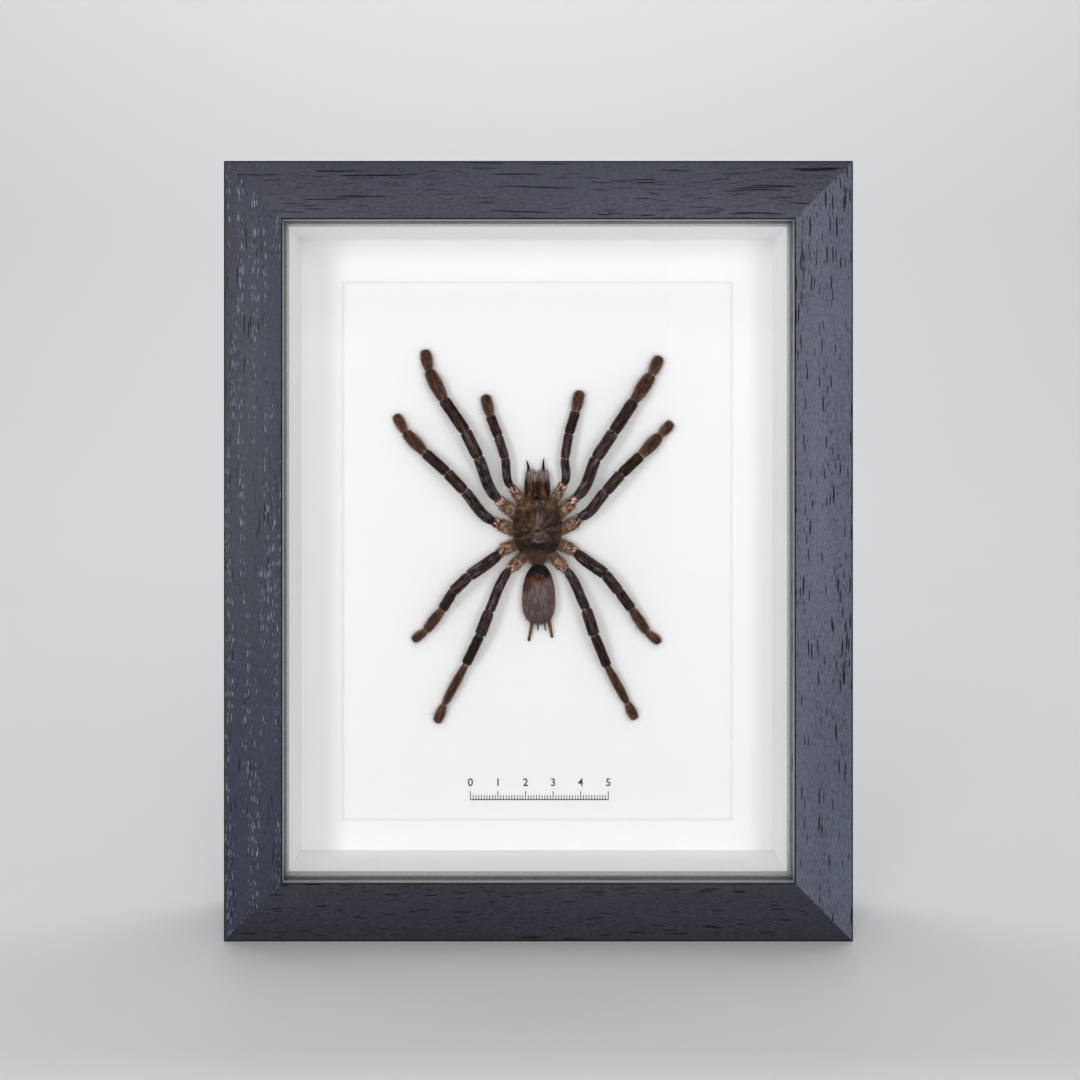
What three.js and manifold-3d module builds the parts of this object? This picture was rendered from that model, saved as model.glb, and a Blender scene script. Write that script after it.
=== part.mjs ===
// A tarantula dried and spread on a white board, in a deep black wooden box frame with a glass front.
// Millimetres, +Z up, the glass faces -Y. The origin is the middle of the frame's underside.
import * as THREE from "three";
import { mergeVertices } from "three/addons/utils/BufferGeometryUtils.js";
import Module from "manifold-3d";

const wasm = await Module();
wasm.setup();

// ---- Driving dimensions: the frame ----
const FRAME_WIDTH = 210;
const FRAME_HEIGHT = 260.5;
const FRAME_DEPTH = 47;
const FACE = 19.5; // the moulding's width, seen from the front
const LIP = 6; // how thick the front lip is, and how far it reaches over the glass
const EDGE_EASE = 0.5; // the small chamfer on the moulding's long edges
const MITRE_GAP = 0.1;
const GAP = 0.3; // between pieces that touch

// ---- Driving dimensions: what the rebate holds, from the glass back ----
const GLASS = 2;
const FILLET_DEPTH = 4.4; // the black strip behind the glass
const BOARD_FRONT = 38; // from the frame's front to the face of the mount board
const BOARD = 2;
const BACK_PANEL = 3;
const PLATE_WIDTH = 141; // the rectangle that is pressed into the mount board
const PLATE_HEIGHT = 195;
const PLATE_RISE = 128; // its centre above the frame's underside
const PLATE_LINE = 1.2; // the pressed line's width and depth
const PLATE_LINE_DEPTH = 0.35;

// ---- Driving dimensions: what closes and hangs the back ----
const TAB_LENGTH = 15;
const TAB_WIDTH = 8;
const TAB_THICKNESS = 0.6;
const TAB_SPREAD = 0.3; // the tabs' distance from the middle of a side, as a share of that side
const HANGER_WIDTH = 42;
const HANGER_HEIGHT = 9;
const HANGER_THICKNESS = 0.8;
const HANGER_ARCH = 1.4; // how far its toothed middle stands off the panel
const HANGER_TEETH = 11;
const HANGER_FOOT = 6.3; // each flat end's length
const HANGER_RAMP = 2.2; // how long the slope is between a foot and the arched middle
const TOOTH_HEIGHT = 0.8; // over the teeth's pitch
const HANGER_DROP = 24; // below the back panel's top edge

// ---- Driving dimensions: the specimen, whose own frame is x right, y headward, z off the board ----
const SPECIMEN_RISE = 137.2; // the middle of its carapace above the frame's underside
const CARAPACE = { halfWidth: 8.85, halfLength: 10.3, margin: 5.2, dome: 4, belly: 4.9, squareness: 2.4 };
const EYES = { x: 0, y: 8.2, z: 7.6, radius: 1.3, slices: 10, stacks: 8 };
const ABDOMEN = { x: 0.5, y: -24.6, halfWidth: 6.1, halfLength: 11.2, margin: 4.9, dome: 4.6, belly: 4.6 };
const ABDOMEN_SQUARENESS = 2.3;
const PEDICEL = { radius: 1.5, rise: 4.6, from: -15, to: -10.9, sides: 12 };
const CHELICERA = { x: 2.45, from: 10.9, to: 20.2, halfWidth: 2.28, margin: 3.7, dome: 2.7, belly: 3.2 };
const CHELICERA_SQUARENESS = 3;
const FANG_RADIUS = 0.75;

// Each fang and spinneret: the points that its middle line runs through.
const FANGS = {
  left: [[-3, 18.8, 3.2], [-3.1, 21.2, 3], [-3.6, 23.6, 2.2]],
  right: [[2.4, 18.8, 3.2], [2.35, 21.4, 3], [2.7, 24.2, 2.2]],
};
const SPINNERETS = [
  { radius: 0.85, path: [[-1.6, -33.6, 3], [-2.4, -38.2, 2.4], [-3.1, -41.6, 1.6]] },
  { radius: 0.85, path: [[4.2, -33.8, 3], [4.9, -37.6, 2.4], [5.4, -40.4, 1.6]] },
  { radius: 0.55, path: [[0.4, -34.2, 3.4], [0.3, -36.4, 3], [0.2, -37.6, 2.6]] },
  { radius: 0.55, path: [[2.6, -34.2, 3.4], [2.8, -36.4, 3], [3, -37.6, 2.6]] },
];

// Legs: the joints from under the carapace to the tip, as [outward, headward], and each segment's width.
// The segments are the coxa's hidden root, the coxa, trochanter, femur, patella, tibia, metatarsus and
// tarsus. A palp has no metatarsus.
const LEG_RISE = [4, 4.2, 5, 5.8, 9.2, 9.4, 5.4, 3, 1.7];
// A femur bows outward by its limb's bow.
const LEGS = {
  leg_1: {
    bow: 1.1,
    widths: [4.4, 4.8, 4.4, 5.6, 4.8, 4.5, 5.2, 4.4],
    left: [
      [5.6, 2.2], [8.4, 4.6], [12.4, 8], [13.9, 9.7], [21, 24.5],
      [25.5, 33.7], [33.4, 45.2], [39, 55.9], [40.6, 63.5],
    ],
    right: [
      [5.8, 2.4], [9.1, 5.5], [12.2, 8.4], [13.9, 10.4], [20.8, 24.2],
      [26.8, 33.3], [34.5, 44.7], [41.1, 54.4], [44.3, 61.1],
    ],
  },
  leg_2: {
    bow: 1,
    widths: [4.2, 4.7, 4.4, 4.9, 4.2, 4, 4.6, 3.8],
    left: [
      [6.4, -2.3], [9.4, -1.2], [13.2, 0.7], [15.6, 1.8], [25.9, 12.6],
      [31.9, 19], [40.1, 26.2], [47.5, 33.7], [51.1, 40.1],
    ],
    right: [
      [6.6, -1.9], [10.6, -0.2], [13.7, 1.6], [15.1, 3.2], [24.2, 12.4],
      [29.5, 18.5], [36.9, 25.2], [44.2, 32.5], [48.6, 37.3],
    ],
  },
  leg_3: {
    bow: -0.2,
    widths: [4, 4.4, 4.2, 4.6, 4, 3.7, 3.8, 3.4],
    left: [
      [6.4, -5.9], [9.6, -7.3], [12.3, -8.5], [13.7, -9.9], [24.3, -17.5],
      [29.8, -22.8], [33.9, -29.6], [40.1, -37.6], [44.8, -41.4],
    ],
    right: [
      [6.4, -5.7], [9.6, -7.1], [12.3, -8.3], [13.9, -9.4], [24, -16.8],
      [28.8, -22.8], [33.6, -29.4], [39.4, -38.1], [44.3, -42.1],
    ],
  },
  leg_4: {
    bow: 0.6,
    widths: [4, 4.2, 3.8, 4.3, 4, 3.6, 3.2, 3.6],
    left: [
      [3.9, -9.4], [6.3, -12.2], [8.7, -14.3], [10.1, -15.6], [17.2, -30.1],
      [20.3, -38.3], [25.5, -49.3], [33.5, -64.2], [36.3, -71.1],
    ],
    right: [
      [3.9, -9.2], [6.7, -12], [9, -14.2], [10.3, -15.6], [17.3, -29.2],
      [20.2, -38.3], [25, -50], [32.4, -63.7], [35.4, -69.7],
    ],
  },
};
const PALP_RISE = [4, 4.4, 5, 5.6, 7.2, 6.6, 4.2, 2];
const PALPS = {
  bow: 0.7,
  widths: [3.6, 3.9, 3.6, 3.3, 3.5, 3.6, 4.2],
  left: [
    [4.6, 6.6], [6.3, 9.8], [7.9, 12.3], [9.5, 14.2], [11.5, 24.2],
    [13.9, 31.9], [16.8, 39.4], [18.8, 47.2],
  ],
  right: [
    [4.6, 6.8], [6.7, 10.2], [8.1, 12.8], [9.5, 15.2], [9.8, 24.2],
    [11.2, 32.9], [13.7, 40.9], [15.5, 48.7],
  ],
};

// How a segment swells between its joints: [share of its length, share of its width].
const BARREL = [[0, 0.72], [0.14, 0.95], [0.5, 1], [0.88, 0.97]];
const THIGH = [[0, 0.74], [0.12, 0.92], [0.35, 1], [0.62, 1], [0.88, 0.95]];
const SPINDLE = [[0, 0.62], [0.25, 0.92], [0.55, 1], [0.85, 0.86]];
const TOE = [[0, 0.62], [0.25, 0.9], [0.55, 1], [0.82, 0.84], [1, 0.36]];
const FEMUR = 3; // its place among the segments
const BOW_SCALE = 27 / 4; // makes the greatest value of t (1 - t)^2, a third of the way along, come to 1
const LIMB_SIDES = 8;
const LIMB_FLATNESS = 0.88; // a limb's height over its width
const SPIKE_SIDES = 6;
const SPIKE_TAPER = 0.8; // the share of its radius that a spike loses by its tip
const NOSE_SEGMENTS = 6; // round the nose of a retaining tab
const OVERCUT = 0.01; // how far a cutting tool starts outside what it cuts
const BODY_SLICES = 24;
const BODY_STACKS = 12;

// ---- Worked out from them ----
const FRONT_Y = -FRAME_DEPTH / 2;
const REBATE_X = FACE - LIP; // from the moulding's outside to its rebate wall
const INNER_WIDTH = FRAME_WIDTH - 2 * (REBATE_X + GAP);
const INNER_HEIGHT = FRAME_HEIGHT - 2 * (REBATE_X + GAP);
const MID_Z = FRAME_HEIGHT / 2;
const GLASS_FRONT = LIP + GAP;
const FILLET_FRONT = GLASS_FRONT + GLASS + GAP;
const SPACER_FRONT = FILLET_FRONT + FILLET_DEPTH + GAP;
const SPACER_DEPTH = BOARD_FRONT - GAP - SPACER_FRONT;
const PANEL_FRONT = BOARD_FRONT + BOARD + GAP;
const PANEL_BACK = PANEL_FRONT + BACK_PANEL;

function finish(color, roughness, metalness = 0) {
  return new THREE.MeshStandardMaterial({ color, roughness, metalness });
}

const BLACK_WOOD = finish(0x2a2b30, 0.55);
const BLACK_STRIP = finish(0x17171a, 0.5);
const WHITE_BOARD = finish(0xf2f2f0, 0.9);
const CLEAR_GLASS = finish(0xeef4f2, 0.02);
CLEAR_GLASS.transparent = true;
CLEAR_GLASS.opacity = 0.25;
const PANEL_BROWN = finish(0x9a7650, 0.85);
const ZINC_STEEL = finish(0xb4b6b8, 0.35, 1);
const DARK_HAIR = finish(0x3a2a22, 0.8);
const CARAPACE_HAIR = finish(0x5a4632, 0.8);
const ABDOMEN_HAIR = finish(0x5c4b46, 0.85);
const CHELICERA_HAIR = finish(0x5b4334, 0.8);

// ---- Solids and geometries ----
function toSolid(geometry) {
  const bare = geometry.clone();
  bare.deleteAttribute("normal");
  bare.deleteAttribute("uv");
  const merged = mergeVertices(bare, 1e-4);
  const vertProperties = merged.attributes.position.array;
  const triVerts = new Uint32Array(merged.index.array);
  return new wasm.Manifold(new wasm.Mesh({ numProp: 3, vertProperties, triVerts }));
}

function toGeometry(solid) {
  const mesh = solid.getMesh();
  const geometry = new THREE.BufferGeometry();
  geometry.setAttribute("position", new THREE.BufferAttribute(mesh.vertProperties, 3));
  geometry.setIndex(new THREE.BufferAttribute(mesh.triVerts, 1));
  geometry.computeVertexNormals();
  return geometry;
}

function named(name, geometry, material) {
  const mesh = new THREE.Mesh(geometry, material);
  mesh.name = name;
  return mesh;
}

// A closed skin over rings of equal length, fanned shut at both ends.
function skin(rings) {
  const sides = rings[0].length;
  const points = rings.flat();
  const faces = [];
  for (let r = 0; r + 1 < rings.length; r++)
    for (let i = 0; i < sides; i++) {
      const a = r * sides + i;
      const b = r * sides + ((i + 1) % sides);
      faces.push(a, b, a + sides, b, b + sides, a + sides);
    }
  const middle = (ring) => ring.reduce((sum, p) => sum.add(p), new THREE.Vector3()).divideScalar(sides);
  const first = points.push(middle(rings[0])) - 1;
  const last = points.push(middle(rings.at(-1))) - 1;
  const lastRing = (rings.length - 1) * sides;
  for (let i = 0; i < sides; i++) {
    const next = (i + 1) % sides;
    faces.push(first, next, i, last, lastRing + i, lastRing + next);
  }
  const geometry = new THREE.BufferGeometry().setFromPoints(points);
  geometry.setIndex(faces);
  geometry.computeVertexNormals();
  return geometry;
}

// A ring of points round a centre, square to a heading, flattened towards the board.
function ring(centre, heading, radius, sides, flatness) {
  const across = new THREE.Vector3().crossVectors(heading, new THREE.Vector3(0, 0, 1)).normalize();
  const up = new THREE.Vector3().crossVectors(across, heading).normalize();
  return Array.from({ length: sides }, (_, i) => {
    const angle = (-2 * Math.PI * (i + 0.5)) / sides;
    return centre
      .clone()
      .addScaledVector(across, Math.cos(angle) * radius)
      .addScaledVector(up, Math.sin(angle) * radius * flatness);
  });
}

// ---- The frame and what its rebate holds ----
// A bar with mitred ends. Its section has x inward from the frame's outside and y back from its front.
function mitredBar(section, length) {
  const geometry = new THREE.ExtrudeGeometry(new THREE.Shape(section), { depth: 1, bevelEnabled: false });
  const position = geometry.attributes.position;
  for (let i = 0; i < position.count; i++) {
    const inward = position.getX(i);
    const back = position.getY(i);
    const reach = length / 2 - inward - MITRE_GAP / 2;
    position.setXYZ(i, position.getZ(i) > 0.5 ? -reach : reach, FRONT_Y + back, inward);
  }
  geometry.computeVertexNormals();
  return geometry;
}

function sectionOf(points) {
  return points.map(([inward, back]) => new THREE.Vector2(inward, back));
}

function box(from, to, front, back) {
  return sectionOf([[from, front], [to, front], [to, back], [from, back]]);
}

function mouldingSection() {
  const e = EDGE_EASE;
  return sectionOf([
    [0, e], [e, 0], [FACE - e, 0], [FACE, e], [FACE, LIP],
    [REBATE_X, LIP], [REBATE_X, FRAME_DEPTH], [e, FRAME_DEPTH], [0, FRAME_DEPTH - e],
  ]);
}

const SIDES = {
  bottom: { turn: 0, length: FRAME_WIDTH, reach: FRAME_HEIGHT / 2 },
  left: { turn: Math.PI / 2, length: FRAME_HEIGHT, reach: FRAME_WIDTH / 2 },
  top: { turn: Math.PI, length: FRAME_WIDTH, reach: FRAME_HEIGHT / 2 },
  right: { turn: -Math.PI / 2, length: FRAME_HEIGHT, reach: FRAME_WIDTH / 2 },
};

// One side's group: inside it, z is inward from the frame's outside.
function sideGroup({ turn, reach }) {
  const side = new THREE.Group();
  side.position.set(Math.sin(-turn) * reach, 0, MID_Z - Math.cos(turn) * reach);
  side.rotation.y = turn;
  return side;
}

function frameSide(name, side) {
  const group = sideGroup(side);
  const bar = name === "left" || name === "right" ? "stile" : "rail";
  const strip = box(REBATE_X + GAP, FACE, FILLET_FRONT, FILLET_FRONT + FILLET_DEPTH);
  const wall = box(REBATE_X + GAP, FACE, SPACER_FRONT, SPACER_FRONT + SPACER_DEPTH);
  group.add(
    named(`${bar}_${name}`, mitredBar(mouldingSection(), side.length), BLACK_WOOD),
    named(`fillet_${name}`, mitredBar(strip, side.length), BLACK_STRIP),
    named(`spacer_${name}`, mitredBar(wall, side.length), WHITE_BOARD),
    ...[-1, 1].map((end) => retainingTab(name, side.length, end)),
  );
  return group;
}

function sheet(thickness, front) {
  const geometry = new THREE.BoxGeometry(INNER_WIDTH, thickness, INNER_HEIGHT);
  return geometry.translate(0, FRONT_Y + front + thickness / 2, MID_Z);
}

// The four mitred V-grooves that outline the pressed plate.
function plateGroove() {
  const half = PLATE_LINE / 2;
  const vee = sectionOf([
    [-half, BOARD_FRONT - GAP], [half, BOARD_FRONT - GAP], [half, BOARD_FRONT],
    [0, BOARD_FRONT + PLATE_LINE_DEPTH], [-half, BOARD_FRONT],
  ]);
  const bars = Object.values(SIDES).map(({ turn }) => {
    const upright = Math.abs(Math.sin(turn)) > 0.5;
    const bar = mitredBar(vee, (upright ? PLATE_HEIGHT : PLATE_WIDTH) + MITRE_GAP);
    bar.translate(0, 0, -(upright ? PLATE_WIDTH : PLATE_HEIGHT) / 2);
    return toSolid(bar.rotateY(turn).translate(0, 0, PLATE_RISE));
  });
  return bars.reduce((all, bar) => all.add(bar));
}

function mountBoard() {
  return toGeometry(toSolid(sheet(BOARD, BOARD_FRONT)).subtract(plateGroove()));
}

// A flat tab with a round nose, which presses the back panel in. It starts at the rebate wall.
function retainingTab(name, sideLength, end) {
  const nose = TAB_WIDTH / 2;
  const outline = new THREE.Shape();
  outline.moveTo(-nose, REBATE_X + GAP);
  outline.lineTo(nose, REBATE_X + GAP);
  outline.lineTo(nose, REBATE_X + TAB_LENGTH - nose);
  outline.absarc(0, REBATE_X + TAB_LENGTH - nose, nose, 0, Math.PI, false);
  outline.closePath();
  const geometry = new THREE.ExtrudeGeometry(outline, {
    depth: TAB_THICKNESS, bevelEnabled: false, curveSegments: NOSE_SEGMENTS,
  });
  geometry.rotateX(Math.PI / 2);
  geometry.translate(end * sideLength * TAB_SPREAD, FRONT_Y + PANEL_BACK + GAP + TAB_THICKNESS, 0);
  return named(`tab_${name}_${end < 0 ? "a" : "b"}`, geometry, ZINC_STEEL);
}

// A toothed hanging plate: flat ends on the panel, an arched middle with teeth along its lower edge.
function hanger() {
  const half = HANGER_WIDTH / 2;
  const foot = HANGER_FOOT;
  const ramp = HANGER_RAMP;
  const arch = HANGER_ARCH;
  const t = HANGER_THICKNESS;
  const upper = [[-half, t], [-half + foot - ramp / 2, t], [-half + foot + ramp / 2, arch + t]];
  const lower = [[half, 0], [half - foot + ramp / 2, 0], [half - foot - ramp / 2, arch]];
  const mirrored = (list) => list.map(([x, y]) => [-x, y]).reverse();
  const side = [...upper, ...mirrored(upper), ...lower, ...mirrored(lower)];
  const plate = new THREE.ExtrudeGeometry(new THREE.Shape(sectionOf(side).reverse()), {
    depth: HANGER_HEIGHT, bevelEnabled: false,
  });
  const pitch = (HANGER_WIDTH - 2 * foot - 2 * ramp) / HANGER_TEETH;
  const notch = sectionOf([[-pitch / 2, 0], [pitch / 2, 0], [0, pitch * TOOTH_HEIGHT]]);
  let solid = toSolid(plate);
  for (let i = 0; i < HANGER_TEETH; i++) {
    const cut = new THREE.ExtrudeGeometry(new THREE.Shape(notch), { depth: 4 * arch, bevelEnabled: false });
    cut.rotateX(Math.PI / 2).translate((i - (HANGER_TEETH - 1) / 2) * pitch, 3 * arch, -OVERCUT);
    solid = solid.subtract(toSolid(cut));
  }
  const top = FRAME_HEIGHT - REBATE_X - GAP;
  return toGeometry(solid).translate(0, FRONT_Y + PANEL_BACK + GAP, top - HANGER_DROP);
}

// ---- The specimen ----
// A dome over a shallower belly. Its outline is a superellipse, and it can be grown all round.
function shell({ x = 0, y = 0, halfWidth, halfLength, margin, dome, belly }, squareness, grow = 0) {
  const geometry = new THREE.SphereGeometry(1, BODY_SLICES, BODY_STACKS).rotateX(Math.PI / 2);
  const position = geometry.attributes.position;
  for (let i = 0; i < position.count; i++) {
    const [u, v, w] = [position.getX(i), position.getY(i), position.getZ(i)];
    const level = Math.hypot(u, v) || 1;
    const [right, ahead] = [Math.abs(u / level), Math.abs(v / level)];
    const swell = (right ** squareness + ahead ** squareness) ** (-1 / squareness);
    position.setXYZ(
      i,
      x + u * swell * (halfWidth + grow),
      y + v * swell * (halfLength + grow),
      margin + w * ((w > 0 ? dome : belly) + grow),
    );
  }
  return toSolid(geometry);
}

// A tapering spike along a smooth line, for fangs and spinnerets.
function spike(path, radius, stations = 6) {
  const line = new THREE.CatmullRomCurve3(path.map((p) => new THREE.Vector3(...p)));
  const rings = Array.from({ length: stations + 1 }, (_, i) => {
    const t = i / stations;
    return ring(line.getPoint(t), line.getTangent(t), radius * (1 - SPIKE_TAPER * t), SPIKE_SIDES, 1);
  });
  return toSolid(skin(rings));
}

function carapace(grow = 0) {
  return shell(CARAPACE, CARAPACE.squareness, grow);
}

function prosoma() {
  const eyes = new THREE.SphereGeometry(EYES.radius, EYES.slices, EYES.stacks);
  return toGeometry(carapace().add(toSolid(eyes.translate(EYES.x, EYES.y, EYES.z))));
}

function chelicera(side, sign, grow = 0) {
  const { x, from, to } = CHELICERA;
  const lobe = { ...CHELICERA, x: sign * x, y: (from + to) / 2, halfLength: (to - from) / 2 };
  return shell(lobe, CHELICERA_SQUARENESS, grow).add(spike(FANGS[side], FANG_RADIUS + grow));
}

function abdomen() {
  const { radius: girth, from, to, rise, sides } = PEDICEL;
  const waist = new THREE.CylinderGeometry(girth, girth, to - from, sides);
  waist.translate(0, (to + from) / 2, rise);
  const body = shell(ABDOMEN, ABDOMEN_SQUARENESS).add(toSolid(waist));
  return toGeometry(SPINNERETS.reduce((all, { path, radius }) => all.add(spike(path, radius)), body));
}

// Which way is outward, square to a segment as seen from above.
function outward(heading, sign) {
  const across = new THREE.Vector3(heading.y, -heading.x, 0).normalize();
  return across.multiplyScalar(Math.sign(across.x * sign) || 1);
}

function profileOf(segment, count) {
  if (segment === count - 1) return TOE;
  if (segment === count - 2) return SPINDLE;
  return segment === FEMUR ? THIGH : BARREL;
}

// A limb through its joints, one swelling segment between each two, cut clear of the body.
function limb({ widths, bow, left, right }, rises, sign, body) {
  const joints = sign > 0 ? right : left;
  const points = joints.map(([out, along], i) => new THREE.Vector3(sign * out, along, rises[i]));
  const headings = points.slice(1).map((p, i) => p.clone().sub(points[i]).normalize());
  const rings = headings.flatMap((heading, i) => {
    const side = outward(heading, sign);
    const before = headings[Math.max(i - 1, 0)];
    return profileOf(i, headings.length).map(([t, share]) => {
      const arch = i === FEMUR ? bow * BOW_SCALE : 0;
      const centre = points[i].clone().lerp(points[i + 1], t);
      centre.addScaledVector(side, arch * t * (1 - t) ** 2);
      const slope = (arch * (1 - t) * (1 - 3 * t)) / points[i].distanceTo(points[i + 1]);
      const facing = heading.clone().addScaledVector(side, slope).normalize();
      if (t === 0) facing.add(before).normalize();
      return ring(centre, facing, (widths[i] * share) / 2, LIMB_SIDES, LIMB_FLATNESS);
    });
  });
  return toGeometry(body.reduce((solid, other) => solid.subtract(other), toSolid(skin(rings))));
}

function specimen() {
  const group = new THREE.Group();
  group.position.set(0, FRONT_Y + BOARD_FRONT, SPECIMEN_RISE);
  group.rotation.x = Math.PI / 2;
  group.add(named("prosoma", prosoma(), CARAPACE_HAIR), named("abdomen", abdomen(), ABDOMEN_HAIR));
  for (const [side, sign] of [["left", -1], ["right", 1]]) {
    const body = [carapace(GAP), chelicera(side, sign, GAP)];
    group.add(named(`chelicera_${side}`, toGeometry(chelicera(side, sign)), CHELICERA_HAIR));
    group.add(named(`palp_${side}`, limb(PALPS, PALP_RISE, sign, body), DARK_HAIR));
    for (const [name, leg] of Object.entries(LEGS))
      group.add(named(`${name}_${side}`, limb(leg, LEG_RISE, sign, body), DARK_HAIR));
  }
  return group;
}

// ---- The whole object ----
const object = new THREE.Group();
for (const [name, side] of Object.entries(SIDES)) object.add(frameSide(name, side));
object.add(
  named("glass_pane", sheet(GLASS, GLASS_FRONT), CLEAR_GLASS),
  named("mount_board", mountBoard(), WHITE_BOARD),
  named("back_panel", sheet(BACK_PANEL, PANEL_FRONT), PANEL_BROWN),
  named("hanger", hanger(), ZINC_STEEL),
  specimen(),
);

export default object;
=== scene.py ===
"""A tarantula dried and spread on a white board, in a deep black wooden box frame with a glass front.

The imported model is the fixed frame: +Z up, the glass facing -Y. Sizes are written in millimetres, and a mesh
is turned into metres where it is made. The floor and the lights are placed in metres. The spider has its own
directions: x right, y headward, z off the board.
"""
import math

import bpy
import numpy as np
from mathutils import Matrix, Vector


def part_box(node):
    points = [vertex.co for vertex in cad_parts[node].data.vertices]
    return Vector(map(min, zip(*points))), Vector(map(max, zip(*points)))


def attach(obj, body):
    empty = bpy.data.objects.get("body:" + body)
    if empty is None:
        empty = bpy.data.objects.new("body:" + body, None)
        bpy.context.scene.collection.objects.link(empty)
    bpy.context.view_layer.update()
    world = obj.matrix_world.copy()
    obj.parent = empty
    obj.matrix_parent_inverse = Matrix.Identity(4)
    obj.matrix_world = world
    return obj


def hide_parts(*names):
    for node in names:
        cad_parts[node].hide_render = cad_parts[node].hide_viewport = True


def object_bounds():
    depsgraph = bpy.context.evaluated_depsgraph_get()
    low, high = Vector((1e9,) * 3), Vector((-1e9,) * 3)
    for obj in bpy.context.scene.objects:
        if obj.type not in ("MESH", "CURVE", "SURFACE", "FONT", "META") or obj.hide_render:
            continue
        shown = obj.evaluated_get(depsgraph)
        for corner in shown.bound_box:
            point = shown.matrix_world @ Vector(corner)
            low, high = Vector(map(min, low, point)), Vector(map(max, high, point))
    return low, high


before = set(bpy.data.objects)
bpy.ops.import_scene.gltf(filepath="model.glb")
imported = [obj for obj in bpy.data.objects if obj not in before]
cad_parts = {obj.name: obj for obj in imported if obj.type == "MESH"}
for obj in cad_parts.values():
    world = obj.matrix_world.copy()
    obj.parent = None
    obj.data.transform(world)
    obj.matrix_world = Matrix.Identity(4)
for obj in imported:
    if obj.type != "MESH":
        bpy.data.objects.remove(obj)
CAD_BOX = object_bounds()

MM = 0.001
BODY = "root"

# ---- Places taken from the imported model, in millimetres ----
FRAME_LOW, FRAME_HIGH = (corner / MM for corner in CAD_BOX)
FRAME_WIDTH = FRAME_HIGH.x - FRAME_LOW.x
FRAME_HEIGHT = FRAME_HIGH.z - FRAME_LOW.z
FRAME_DEPTH = FRAME_HIGH.y - FRAME_LOW.y
FRONT_Y = FRAME_LOW.y
MID_Z = FRAME_HEIGHT / 2
BOARD_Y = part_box("mount_board")[0].y / MM

# ---- The moulding ----
FACE = 19.5  # its width, seen from the front
LIP = 6  # how thick the front lip is, and how far it reaches over the glass
OUTER_ROUND = 0.75
INNER_ROUND = 0.5
BACK_ROUND = 0.6
ARC_STEPS = 5
MITRE_GAP = 0.04
TOUCH = 0.02  # between pieces that touch
LINING_GAP = 0.3  # between a strip or a wall and the rebate
GLASS_IOR = 1.45
STRIP_FRONT = 8.6  # the black strip starts behind the glass
WALL_FRONT = 13.2  # and the white wall behind the strip
SIDES = {
    "rail_bottom": (0, FRAME_WIDTH, FRAME_HEIGHT / 2),
    "stile_left": (90, FRAME_HEIGHT, FRAME_WIDTH / 2),
    "rail_top": (180, FRAME_WIDTH, FRAME_HEIGHT / 2),
    "stile_right": (270, FRAME_HEIGHT, FRAME_WIDTH / 2),
}

# ---- The pressed plate and the printed scale bar on the mount board ----
PLATE_WIDTH = 141
PLATE_HEIGHT = 195
PLATE_RISE = 128
# The pressed line's grey is partly painted shade of its groove.
PLATE_SHADE = 0.1  # how much the pressed line greys the board
SCALE_LEFT = -24.2
SCALE_CENTIMETRES = 5
SCALE_RISE = 38.0  # the foot of the ticks
TICK_HEIGHT = 1.5
LONG_TICK = 2.9
TICK_WIDTH = 0.3
LINE_HEIGHT = 0.36
DIGIT_HEIGHT = 3.9
DIGIT_RISE = 42.8
INK_THICKNESS = 0.03
DIGIT_WEIGHT = 0.06  # how much bolder than the plain face

# ---- The spider, in its own directions ----
SPECIMEN_RISE = 137.2
CARAPACE = {"at": (0, 0), "half": (8.5, 10.1), "margin": 5.2, "dome": 3.8, "belly": 4.7, "square": 5.6}
ABDOMEN = {"at": (0.5, -24.1), "half": (5.5, 10.5), "margin": 4.9, "dome": 4.2, "belly": 4.3, "square": 2.5}
CHELICERA = {"at": (2.2, 14.1), "half": (2.4, 5.5), "margin": 3.7, "dome": 2.6, "belly": 3, "square": 3.6}
CARAPACE_EDGE = (8.75, 10.2)  # half its width and length, where the hair is shorter
FOVEA = (0.2, -1.5)
EYE_MOUND = (-0.1, 8.7)
PEDICEL = [(0, -9.2, 4.3), (0.1, -11.6, 4.2), (0.2, -14.2, 4.1)]
WAIST_RADII = (4.7, 1.9)  # in front and behind
WAIST_RINGS = 12
WAIST_SIDES = 16
FANG_RADIUS = 0.78
FANGS = {
    "left": [(-3, 18.4, 3.5), (-3.1, 20.4, 3.7), (-3.4, 22.3, 3.1), (-3.9, 23.8, 2.1)],
    "right": [(2.3, 18.4, 3.5), (2.2, 20.6, 3.7), (2.25, 22.8, 3.1), (2.5, 24.6, 2.1)],
}
SPINNERET_SIDES = 14
SPINNERETS = {  # each one's radius and middle line
    "long_left": (0.72, [(-1.6, -33.6, 3), (-2.4, -38.2, 2.4), (-3.1, -41.6, 1.6)]),
    "long_right": (0.72, [(4.2, -33.8, 3), (4.9, -37.6, 2.4), (5.4, -40.4, 1.6)]),
    "short_left": (0.42, [(0.4, -34.2, 3.4), (0.3, -36.4, 3), (0.2, -37.6, 2.6)]),
    "short_right": (0.42, [(2.6, -34.2, 3.4), (2.8, -36.4, 3), (3, -37.6, 2.6)]),
}

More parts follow.
